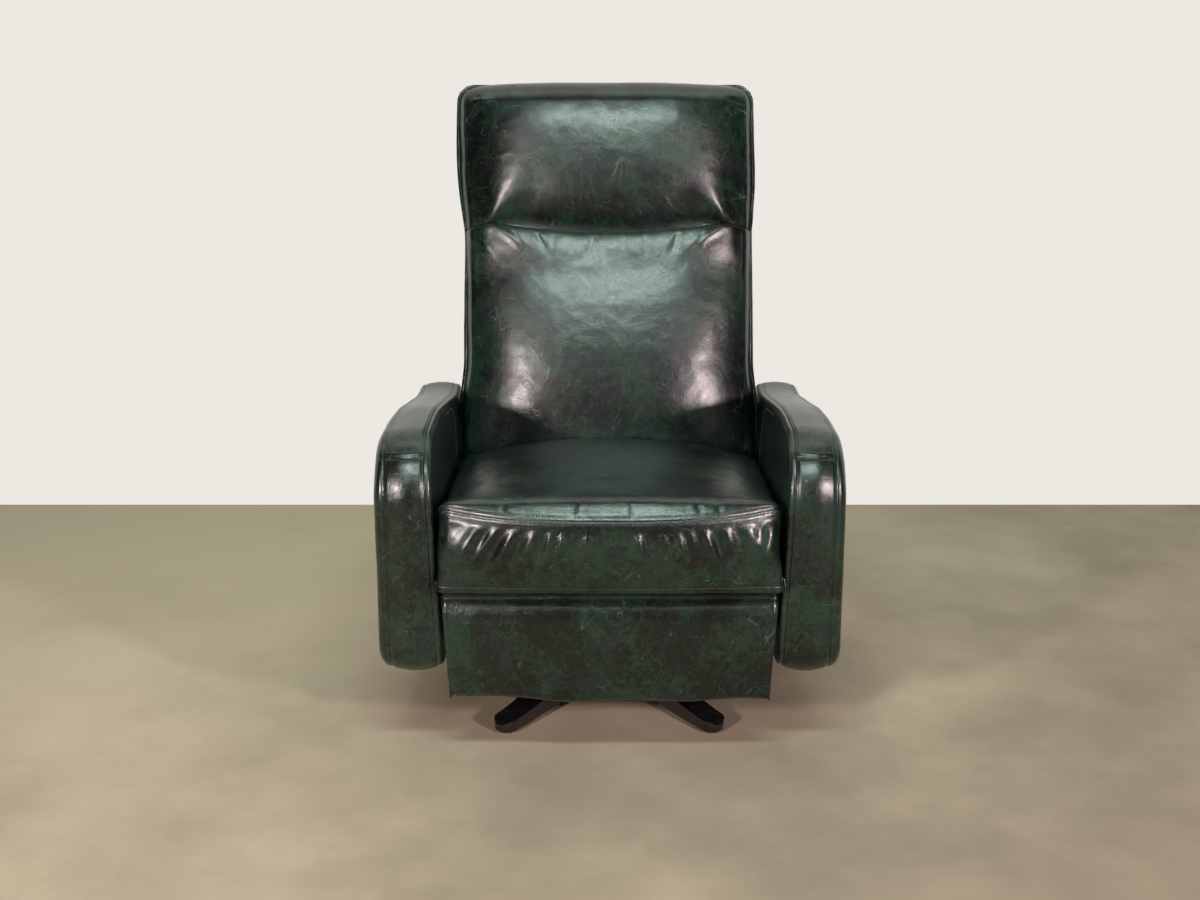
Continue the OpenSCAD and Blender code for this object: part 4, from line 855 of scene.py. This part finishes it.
def arm(side, name):
    ring, places, cross_at = arm_ring()
    rows, offsets = arm_rows(ring)
    cover = Cover(arm_place(rows, side))
    bow = CROSS_SEAM_BOW * np.sin(np.pi * np.clip((offsets - band_seams[0]) / ARM_BAND, 0, 1))
    on_band = smooth((offsets - band_seams[0]) / BAND_FADE) * smooth((band_seams[1] - offsets) / BAND_FADE)
    lift = np.zeros(cover.points.shape[:2])
    for seam in band_seams:
        lift += seam_dip(offsets - seam)[:, None]
    lift += seam_dip(places[None, :] - cross_at - bow[:, None]) * on_band[:, None]
    lift += rumple(cover.points, 0.07, 0.0010, seed=3 + side)
    lift += rumple(cover.points, 0.02, 0.00025, seed=5 + side)
    cover.push(lift)
    upholstery = cover.mesh(name + "_arm_upholstery")
    made = piece(name + "_arm_upholstery", upholstery, "chassis", leather)
    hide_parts(name + "_arm_cover")
    curved = np.flatnonzero((offsets >= 0) & (offsets < 1))

    def row_of(offset):
        return np.interp(offset, offsets[curved], curved)

    both_rows = (-STITCH_SPREAD / 2, STITCH_SPREAD / 2)
    columns = np.linspace(0, len(places), 1600)
    paths = []
    for seam in band_seams:
        for shift in both_rows:
            paths.append(cover.at(np.full(len(columns), row_of(seam + shift)), columns))
    over_band = np.linspace(row_of(band_seams[0] + BAND_FADE), row_of(band_seams[1] - BAND_FADE), 60)
    bows = np.interp(over_band, np.arange(len(offsets)), bow)
    for shift in both_rows:
        paths.append(cover.at(over_band, np.interp(cross_at + shift + bows, places, np.arange(len(places)))))
    paths.append(arm_panel_seam(cover, ring))
    stitches(name + "_arm_stitches", paths, "chassis", thread)


# Back: v runs rearwards and w up along it, from its hinge

hinge = joints["back_recline"]["pos_m"]
BACK_LEAN = math.radians(15)
CREASE = 0.495
BACK_TOP = 0.778
CUSHION_LOW = -0.028
CUSHION_REAR = -0.0013
BEND_REACH = 0.065
# Faces of the cushions: the flat under the crown, the crown, and where each is fullest
BACK_FACE = 0.030
CROWN = 0.063
LUMBAR = 0.195
PILLOW = 0.676
HEAD_SHIFT = -0.0065
# How fast a face draws back below and above its fullest place, and how the back eases off near the crease
BACK_FALL = (12.0, 7.3)
BACK_EASE = 29.0
BACK_EASE_RISE = 0.195
HEAD_FALL = (11.0, 30.0)
# Edges of the cushions in the crease, and what they have to clear of the hinges inside
LIP_GAP = 0.0004
LIP_RISE = 0.020
LIP_DEPTH = 0.0505
LIP_SOFT = 0.0035
HINGE_X = 0.262
HINGE_FADE = 0.04
# The crease: highest where the leather is pulled in beside each end, and sagging between
PULL_X = 0.232
CREASE_PEAK = 0.008
CREASE_SAG = 0.021
CREASE_END = 0.011
# How sharply the leather curls into the crease: its least depth there, and how far the curl reaches
CURL_DEPTH = 0.003
CURL_REACH = 0.004
CURL_SPREAD = 0.012
LEAST_TUCK = 0.002
# Rounded sides, top and bottom of the cushions
SIDE_ROLL = 0.011
SIDE_DEPTH = 0.026
TOP_ROLL = 0.046
BOTTOM_ROLL = 0.022
CORNER_ROLL = 0.034
LEAST_DEPTH = 0.010
# Flat ends of the cushions, and the part of their depth over which seams and folds fade out
END_INSET = 0.003
END_PROUD = 0.0015
END_BULGE = 0.003
FACE_FROM = 0.018
FACE_FADE = 0.02
back_middle = np.array([-0.013, 0.23])
head_middle = np.array([-0.013, 0.63])
# Half widths of the back, beside seat_half: between the arms, above them, and of the head
BETWEEN_ARMS = 0.0075
ABOVE_ARMS = -0.0030
HEAD_WIDER = 0.0050


def on_back(points):
    """Points across, v and w to points of the frame. The headrest's cover sits a little to one side."""
    x, v, w = points[..., 0], points[..., 1], points[..., 2]
    x = x + HEAD_SHIFT * smooth((w - CREASE + 0.05) / 0.25)
    c, s = math.cos(BACK_LEAN), math.sin(BACK_LEAN)
    return np.stack([x, hinge[1] + v * c + w * s, hinge[2] - v * s + w * c], axis=-1)


BEND_START = tuple(on_back(np.array([0, 0, CREASE - BEND_REACH])))
BEND_END = tuple(on_back(np.array([0, 0, CREASE + BEND_REACH])))


def back_width(points):
    """Half width of the back at the heights of the points: it fills the space between the arms."""
    w = points[:, 1]
    width = mix(seat_half + BETWEEN_ARMS, seat_half + ABOVE_ARMS, smooth((w - 0.13) / 0.11))
    return width + (HEAD_WIDER - ABOVE_ARMS) * smooth((w - CREASE + 0.04) / 0.16)


def crease_height(x):
    between = max(0, 1 - (x / PULL_X) ** 2)
    beyond = max(0, abs(x) - PULL_X) / (seat_half - PULL_X)
    return CREASE + CREASE_PEAK - CREASE_SAG * between - CREASE_END * beyond


def tuck(x, away, reach, deep, spread, lip):
    """How far the crease draws the leather in, at a distance from it up or down."""
    s = np.clip((abs(x) - spread) / (PULL_X - spread), 0, 1)
    share = (1 - s ** 1.6) ** 0.9 + LEAST_TUCK
    curl = (lip * math.sqrt(share) + CURL_DEPTH) * np.exp(-away / (CURL_SPREAD * share + CURL_REACH))
    return deep * math.sqrt(share) * np.clip(1 - away / (reach * share), 0, 1) ** 2 + curl


def clear_of_hinges(depth, x, away):
    """Depth of the leather, eased near the crease so that it stays in front of the hinges inside."""
    eased = LIP_DEPTH + LIP_SOFT * np.logaddexp(0, (depth - LIP_DEPTH) / LIP_SOFT)
    return mix(depth, eased, smooth((HINGE_X - abs(x)) / HINGE_FADE) * smooth(2 - away / HINGE_FADE))


def roll_off(away, radius):
    """How far a rounded edge falls back, at a distance from it."""
    over = np.clip(1 - away / radius, 0, 1)
    return radius * (1 - np.sqrt(np.maximum(0, 1 - over * over)))


def side_crown(x):
    return max(0, 1 - abs(x / (seat_half - 0.004)) ** 4)


def back_depth(x, w):
    """How far the back's face stands forward: fullest low down, and drawn back towards the crease."""
    away = crease_height(x) - w
    rise = w - LUMBAR
    fall = np.where(rise > 0, BACK_FALL[1], BACK_FALL[0]) * rise ** 2
    fall -= BACK_EASE * np.maximum(0, rise - BACK_EASE_RISE) ** 2
    depth = BACK_FACE + CROWN * side_crown(x) * (1 - fall)
    depth -= tuck(x, away, reach=0.07, deep=0.003, spread=0.10, lip=0.004)
    return clear_of_hinges(depth, x, away) - roll_off(w - CUSHION_LOW, BOTTOM_ROLL)


def head_depth(x, w):
    """How far the head cushion stands forward: fullest in its lower half, over the crease."""
    away = w - crease_height(x)
    fall = np.where(w > PILLOW, HEAD_FALL[1], HEAD_FALL[0]) * (w - PILLOW) ** 2
    depth = BACK_FACE + CROWN * side_crown(x) * (1 - fall)
    depth -= tuck(x, away, reach=0.085, deep=0.020, spread=0.140, lip=0.010)
    thinner = 0.004 * max(0, abs(x) / seat_half - 0.7)
    return clear_of_hinges(depth, x, away) - roll_off(BACK_TOP - w, TOP_ROLL) - thinner


def face_line(x, depth_at, start, end, side, count):
    """Line down a cushion's face from one edge to the other, with evenly spaced points."""
    w = mix(start, end, (1 - np.cos(np.pi * np.linspace(0, 1, 900))) / 2)
    line = np.column_stack([-np.maximum(depth_at(x, w) - side, LEAST_DEPTH), w])
    return spaced(line, length_along(line)[-1] * np.linspace(0, 1, count))


def straight(a, b, count):
    return mix(np.array(a), np.array(b), np.linspace(0, 1, count + 1)[:-1, None])


def back_ring(x, side):
    """Side outline of the back cushion at a place across. Its face lies further back by `side`."""
    face = face_line(x, back_depth, crease_height(x) - LIP_GAP, CUSHION_LOW, side, 170)
    low, high = (CUSHION_REAR, CUSHION_LOW), (CUSHION_REAR, CREASE + LIP_RISE - LIP_GAP)
    return np.concatenate([straight(low, high, 30), straight(high, face[0], 10), face,
                           straight(face[-1], low, 12)[1:]])


def head_ring(x, side):
    """Side outline of the head cushion at a place across. Its face lies further back by `side`."""
    face = face_line(x, head_depth, BACK_TOP, crease_height(x) + LIP_GAP, side, 120)
    low, high = (CUSHION_REAR, CREASE + LIP_RISE + LIP_GAP), (CUSHION_REAR, BACK_TOP)
    return np.concatenate([straight(low, high, 20), straight(high, face[0], 8), face,
                           straight(face[-1], low, 10)[1:]])


def head_width(points):
    """The headrest's top corners are rounded off in the front view."""
    return back_width(points) - roll_off(BACK_TOP - points[:, 1], CORNER_ROLL) * 0.85


# Folds of the faces, from one x and w to another, with their width and height. The pairs come on both sides
FOLD_ROOT = PULL_X - 0.003
BACK_PAIRS = [(FOLD_ROOT, 0.498, 0.120, 0.432, 0.013, 0.0026)]
BACK_FOLDS = [(-0.185, 0.488, -0.158, 0.440, 0.008, -0.0020), (-0.140, 0.482, -0.110, 0.430, 0.008, -0.0022),
              (-0.105, 0.480, -0.112, 0.424, 0.006, -0.0018), (0.135, 0.482, 0.118, 0.434, 0.008, -0.0032),
              (0.03, 0.474, 0.03, 0.436, 0.010, -0.0014), (0.185, 0.484, 0.160, 0.440, 0.007, -0.0026),
              (0.07, 0.476, 0.075, 0.432, 0.008, -0.0016), (-0.03, 0.474, -0.04, 0.436, 0.009, -0.0016),
              (-0.245, 0.470, -0.205, 0.415, 0.010, 0.0018), (-0.250, 0.42, -0.215, 0.37, 0.010, 0.0012)]
HEAD_PAIRS = [(FOLD_ROOT, 0.505, 0.158, 0.650, 0.048, 0.0105),
              (FOLD_ROOT - 0.004, 0.506, 0.196, 0.580, 0.008, 0.0016)]
HEAD_FOLDS = [(0.030, 0.622, 0.012, 0.565, 0.007, 0.0020), (0.040, 0.622, 0.050, 0.560, 0.006, 0.0016),
              (-0.215, 0.628, -0.165, 0.640, 0.009, 0.0008), (-0.05, 0.55, -0.04, 0.505, 0.010, 0.0014),
              (0.0, 0.53, 0.01, 0.490, 0.010, 0.0016), (0.11, 0.55, 0.13, 0.500, 0.010, 0.0020),
              (-0.13, 0.55, -0.14, 0.500, 0.010, 0.0014), (0.06, 0.54, 0.07, 0.492, 0.009, 0.0014),
              (-0.262, 0.742, -0.205, 0.735, 0.008, 0.0034), (-0.270, 0.700, -0.232, 0.742, 0.006, 0.0034),
              (-0.255, 0.755, -0.222, 0.705, 0.006, -0.0030), (0.275, 0.715, 0.238, 0.722, 0.007, 0.0038),
              (0.272, 0.735, 0.225, 0.745, 0.007, -0.0034)]


def on_both_sides(pairs):
    return pairs + [(-x0, w0, -x1, w1, width, height) for x0, w0, x1, w1, width, height in pairs]


def face_fold(x, w, x0, w0, x1, w1, width, height):
    """Height of a fold of the back's leather that grows wider and lower on its way."""
    reach = math.hypot(x1 - x0, w1 - w0)
    across, up = (x1 - x0) / reach, (w1 - w0) / reach
    t = np.clip(((x - x0) * across + (w - w0) * up) / reach, 0, 1)
    beside = ((x - x0) * up - (w - w0) * across) / (width * (0.5 + t))
    return height * t ** 0.25 * (1 - t) ** 1.1 * ridge(beside)


def back_piece(name, ring_at, width_at, centre, node, folds, seed):
    """Cushion of the back or the headrest, with rounded sides and a seam along each of them."""
    seam = seat_half - SIDE_ROLL
    flat = stations(-seam, seam, WEAVE, [-seam, seam])
    places = [(x, 0.0) for x in flat if x > 0]
    for a in quarter_turn(10)[1:]:
        places.append((seam + SIDE_ROLL * math.sin(a), SIDE_DEPTH * (1 - math.cos(a)) ** 0.55))
    half_rows = []
    for x, side in places:
        ring = ring_at(x, side)
        half_rows.append(row_at(x / seat_half * width_at(ring), ring))
    end = inset(ring_at(seat_half, SIDE_DEPTH), END_INSET)
    end_shares = np.linspace(1, 0.04, 13)
    for share in end_shares:
        ring = shrunk(end, centre, share)
        half_rows.append(row_at(width_at(ring) + END_PROUD + END_BULGE * (1 - share ** 2), ring))
    mirrored = [row * MIRROR for row in half_rows]
    rows = np.array(mirrored[::-1] + [row_at(0, ring_at(0, 0))] + half_rows)
    from_middle = np.array([x for x, _ in places] + [seat_half] * len(end_shares))
    from_middle = np.concatenate([from_middle[::-1], [0], from_middle])
    x, w = rows[..., 0], rows[..., 2]
    lift = np.zeros(rows.shape[:2])
    lift += seam_dip(from_middle - seam, deep=0.0009, swell=0.0003)[:, None]
    for row in folds:
        lift += face_fold(x, w, *row)
    lift *= smooth((-rows[..., 1] - FACE_FROM) / FACE_FADE)
    cover = Cover(on_back(rows))
    lift += rumple(cover.points, 0.08, 0.0014, seed) + rumple(cover.points, 0.022, 0.0004, seed + 1)
    on_rear = rows[..., 1] > CUSHION_REAR - 0.002
    cover.push(np.where(on_rear, 0, lift))
    made = piece(name, cover.mesh(name), None, leather)
    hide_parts(node)


# Outside back: padded walls round the rear and both sides

BACK_REAR = 0.0983
REAR_BOW = 0.006
SHELL = 0.009
LEAST_RADIUS = 0.004
REAR_END_BULGE = 0.002
# How far in the seams lie, the room that the places beside them take, and the share across of the shell
SIDE_SEAM_IN = 0.045
SEAM_CLEAR = 0.0105
BETWEEN_RIMS = 0.9645


def wall_path(low, high, radius, rear, front, count):
    """Line up a rear wall, round its top corner and forward, with evenly spaced points."""
    line = [(rear, low), (rear, high - radius)]
    for a in quarter_turn(14)[1:]:
        line.append((rear - radius + radius * math.cos(a), high - radius + radius * math.sin(a)))
    line = np.array(line + [(front, high)])
    return spaced(line, np.linspace(0, length_along(line)[-1], count))


def rear_panel(name, node, low, high, radius, front, width_at, seed):
    """Padded shell behind the back or the headrest, filled up at both ends, with a seam near each."""
    count = max(60, round((high - low) / WEAVE))

    def row(u, depth, filled):
        rear = BACK_REAR - REAR_BOW * u * u - depth
        outer_radius, inner_radius = max(radius - depth, LEAST_RADIUS), max(radius - SHELL / 2, LEAST_RADIUS)
        outer = wall_path(low + depth, high - depth, outer_radius, rear, front, count)
        if filled:
            inner = row_at(0, np.linspace(low + depth, high - depth - 0.001, count))
        else:
            inner = wall_path(low, high - SHELL, inner_radius, rear - SHELL, front, count)
        ring = np.concatenate([outer, inner[::-1]])
        return row_at(u * width_at(ring), ring)

    rims = edge_rows(seat_half, SHELL)
    seam = 1 - SIDE_SEAM_IN / seat_half
    between = np.linspace(-BETWEEN_RIMS, BETWEEN_RIMS, round(2 * BETWEEN_RIMS * seat_half / WEAVE))
    middle = [s for s in between if abs(abs(s) - seam) > SEAM_CLEAR / seat_half]
    middle = sorted(middle + [side * seam + d / seat_half for side in (-1, 1) for d in SEAM_STEPS])
    rows = [row(-share, depth, True) for share, depth in rims]
    rows += [row(share, 0, False) for share in middle]
    rows += [row(share, depth, True) for share, depth in rims[::-1]]
    centre = np.array([BACK_REAR * 0.5, (low + high) / 2])
    caps = []
    for share in np.linspace(0.04, 1, 14)[:-1]:
        ring = shrunk(rows[0][:, 1:], centre, share)
        caps.append(row_at(-width_at(ring) - REAR_END_BULGE * (1 - share ** 2), ring))
    rows = np.array(caps + rows + [cap * MIRROR for cap in caps[::-1]])
    side_shares = [1] * len(caps) + [share for share, _ in rims]
    places = np.array(side_shares + [abs(share) for share in middle] + side_shares[::-1])
    outside = np.arange(rows.shape[1]) < count
    cover = Cover(on_back(rows))
    lift = (seam_dip((places - seam) * seat_half) * (places < 0.99))[:, None]
    lift = lift + rumple(cover.points, 0.09, 0.0014, seed) + rumple(cover.points, 0.03, 0.0004, seed + 1)
    cover.push(lift * outside)
    made = piece(name, cover.mesh(name), None, leather)
    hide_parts(node)


# Footrest pad

pad_low, pad_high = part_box("footrest_pad")
PAD_TAPER = 0.011
PAD_RISE = -0.0060
PAD_INSET = 0.005
PAD_EDGE = 0.009
PAD_SIDE_BULGE = 0.001
# The front face leans back over its top, and is full in the middle, but its rear stays flat
PAD_LEAN = 0.014
PAD_LEAN_REACH = 0.050
PAD_BELLY = 0.005
PAD_FLAT = 0.012


def pad_ring(u):
    """Side outline of the footrest pad at a share u of its half width, with a wavy hem."""
    rear, front = pad_high.y, pad_low.y + PAD_INSET
    top = pad_high.z + PAD_RISE
    hem = -0.012 * smooth((u + 1) / 0.85) + 0.005 * smooth((u - 0.35) / 0.6) + 0.0012 * math.sin(9 * u + 1.0)
    ring = evenly(rounded([
        (front, pad_low.z + hem, 0.013), (front, top, 0.0165), (rear, top, 0.010),
        (rear, pad_low.z + hem, 0.013)]), 150)
    t = np.clip((ring[:, 1] - pad_low.z) / (pad_high.z - pad_low.z), 0, 1)
    rolled = np.clip((ring[:, 1] - top + PAD_LEAN_REACH) / PAD_LEAN_REACH, 0, 1)
    ring[:, 0] += PAD_LEAN * rolled ** 2 * smooth((rear - PAD_FLAT - ring[:, 0]) / 0.010)
    belly = PAD_BELLY * (1 - u ** 4) * np.sin(np.pi * t) ** 0.6
    ring[:, 0] -= belly * smooth((rear - PAD_FLAT - ring[:, 0]) / 0.008)
    return ring


def pad_width(points):
    return seat_half - PAD_TAPER * np.clip((pad_high.z - points[:, 1]) / (pad_high.z - pad_low.z), 0, 1)


def footrest_pad():
    across = np.linspace(-1, 1, round(2 * seat_half / WEAVE))
    centre = np.array([(pad_high.y + pad_low.y) / 2, (pad_low.z + pad_high.z) / 2])
    rows, _ = cushion_rows(pad_ring, pad_width, seat_half, PAD_EDGE, centre, PAD_SIDE_BULGE, across)
    cover = Cover(rows)
    off_rear = smooth((pad_high.y - 0.006 - cover.points[..., 1]) / 0.008)
    lift = rumple(cover.points, 0.06, 0.0013, seed=21) + rumple(cover.points, 0.02, 0.0004, seed=22)
    cover.push(lift * off_rear)
    made = piece("footrest_pad_cover", cover.mesh("footrest_pad_cover"), "footrest", leather)
    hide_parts("footrest_pad")


# Camera, lights and stage

FOCAL_PIXELS = 1642
PICTURE_WIDTH = 1200
SENSOR_WIDTH = 36
CAMERA_PLACE = (-0.0167, -2.956, 1.316)
CAMERA_DOWN = 16.3
# The backdrop is as bright as it is written, and the light from all round is faint
BACKDROP = (0.84, 0.81, 0.76, 1)
WORLD_LIGHT = 0.02
STAGE_REACH = 3.6
WALL_Y = 1.045
WALL_HEIGHT = 6
# Place, aim, size, power and colour of each lamp
LAMPS = {
    "ceiling_panel": ((0, 1.6, 4.0), (0, 1.6, 0), (5.0, 4.0), 95, (1.0, 0.97, 0.90)),
    "overhead_softbox": ((0, -2.2, 2.74), (0, 0.0, 0.6), (1.5, 0.25), 55, (0.87, 1.0, 0.94)),
    "left_softbox": ((-1.50, -2.50, 1.20), (0, 0.1, 0.62), (0.20, 0.20), 60, (1.0, 0.80, 0.79)),
    "right_softbox": ((1.85, -2.45, 1.20), (0, 0.1, 0.62), (0.20, 0.20), 72, (1.0, 0.74, 0.78))}


def placed(name, data):
    made = bpy.data.objects.new(name, data)
    bpy.context.scene.collection.objects.link(made)
    return made


def camera():
    data = bpy.data.cameras.new("camera")
    data.sensor_width = SENSOR_WIDTH
    data.lens = SENSOR_WIDTH * FOCAL_PIXELS / PICTURE_WIDTH
    seen = placed("camera", data)
    seen.location = CAMERA_PLACE
    seen.rotation_euler = (math.radians(90 - CAMERA_DOWN), 0, 0)
    bpy.context.scene.camera = seen


def lamp(name, place, aim, size, power, colour):
    data = bpy.data.lights.new(name, "AREA")
    data.shape = "RECTANGLE"
    data.size, data.size_y = size
    data.energy = power
    data.color = colour
    made = placed(name, data)
    made.location = place
    made.rotation_euler = (Vector(aim) - Vector(place)).to_track_quat("-Z", "Y").to_euler()


def pale_floor():
    """Floor with soft mottle, and painted light that makes it lighter to the left and to the rear."""
    f = Finish("pale_floor", Roughness=0.9, Specular_IOR_Level=0.2)
    x, y = (f.node("ShaderNodeSeparateXYZ", inputs={"Vector": f.place}, output=axis) for axis in "XY")
    mottle = (f.cloudy(2.4, detail=6, rough=0.6) - 0.5) * 0.9
    # The mottle is the floor's own tone; the steps in x and y are painted light falloff, lighter to the left and
    # to the rear.
    light = mottle + x.step(1.8, -1.8) * 0.55 + y.step(-1.3, 1.0) * 0.5
    return f.set(Base_Color=f.blend(light.step(0, 1), (0.205, 0.186, 0.132), (0.485, 0.442, 0.315)))


def pale_wall():
    """Backdrop that only the camera and reflections see, and only from its front."""
    f = Finish("pale_wall")
    glow = f.node("ShaderNodeEmission", inputs={"Color": BACKDROP})
    clear = f.node("ShaderNodeBsdfTransparent")
    behind = f.node("ShaderNodeNewGeometry", output="Backfacing")
    front = f.node("ShaderNodeMixShader", inputs={0: behind, 1: glow, 2: clear})
    rays = [f.node("ShaderNodeLightPath", output=kind) for kind in ("Is Camera Ray", "Is Glossy Ray")]
    seen = f.node("ShaderNodeMixShader", inputs={0: rays[0] + rays[1], 1: clear, 2: front})
    f.join(f.tree.nodes["Material Output"].inputs["Surface"], seen)
    return f.material


def sheet(name, corners, material):
    mesh = bpy.data.meshes.new(name)
    mesh.from_pydata(corners, [], [(0, 1, 2, 3)])
    mesh.materials.append(material)
    return placed(name, mesh)


def stage():
    r, y, top = STAGE_REACH, WALL_Y, WALL_HEIGHT
    ground = sheet("floor", [(-r, -r, 0), (r, -r, 0), (r, r, 0), (-r, r, 0)], pale_floor())
    wall = sheet("wall", [(-r, y, 0), (r, y, 0), (r, y, top), (-r, y, top)], pale_wall())


def surroundings():
    """World that is pale for the camera, and lights everything else faintly."""
    world = bpy.data.worlds.new("studio")
    bpy.context.scene.world = world
    world.use_nodes = True
    tree = world.node_tree
    back = tree.nodes["Background"]
    back.inputs["Color"].default_value = BACKDROP
    rays = tree.nodes.new("ShaderNodeLightPath")
    level = tree.nodes.new("ShaderNodeMix")
    level.inputs["A"].default_value = WORLD_LIGHT
    level.inputs["B"].default_value = 1.0
    tree.links.new(rays.outputs["Is Camera Ray"], level.inputs["Factor"])
    tree.links.new(level.outputs[0], back.inputs["Strength"])


camera()
stage()
surroundings()
for name, row in LAMPS.items():
    lamp(name, *row)
finish_hard_pieces()
seat_cushion()
arm(1, "left")
arm(-1, "right")
back_piece("back_cushion_cover", back_ring, back_width, back_middle, "back_cushion",
           on_both_sides(BACK_PAIRS) + BACK_FOLDS, seed=11)
back_piece("head_cushion_cover", head_ring, head_width, head_middle, "head_cushion",
           on_both_sides(HEAD_PAIRS) + HEAD_FOLDS, seed=14)
rear_panel("outer_back_cover", "outer_back_panel", CUSHION_LOW, CREASE - LIP_GAP, radius=0.014,
           front=BACK_REAR - 0.028, width_at=back_width, seed=31)
rear_panel("head_rear_cover", "head_rear_panel", CREASE + LIP_GAP, BACK_TOP, radius=0.058,
           front=0, width_at=head_width, seed=33)
footrest_pad()
bpy.context.scene.view_settings.view_transform = "Standard"
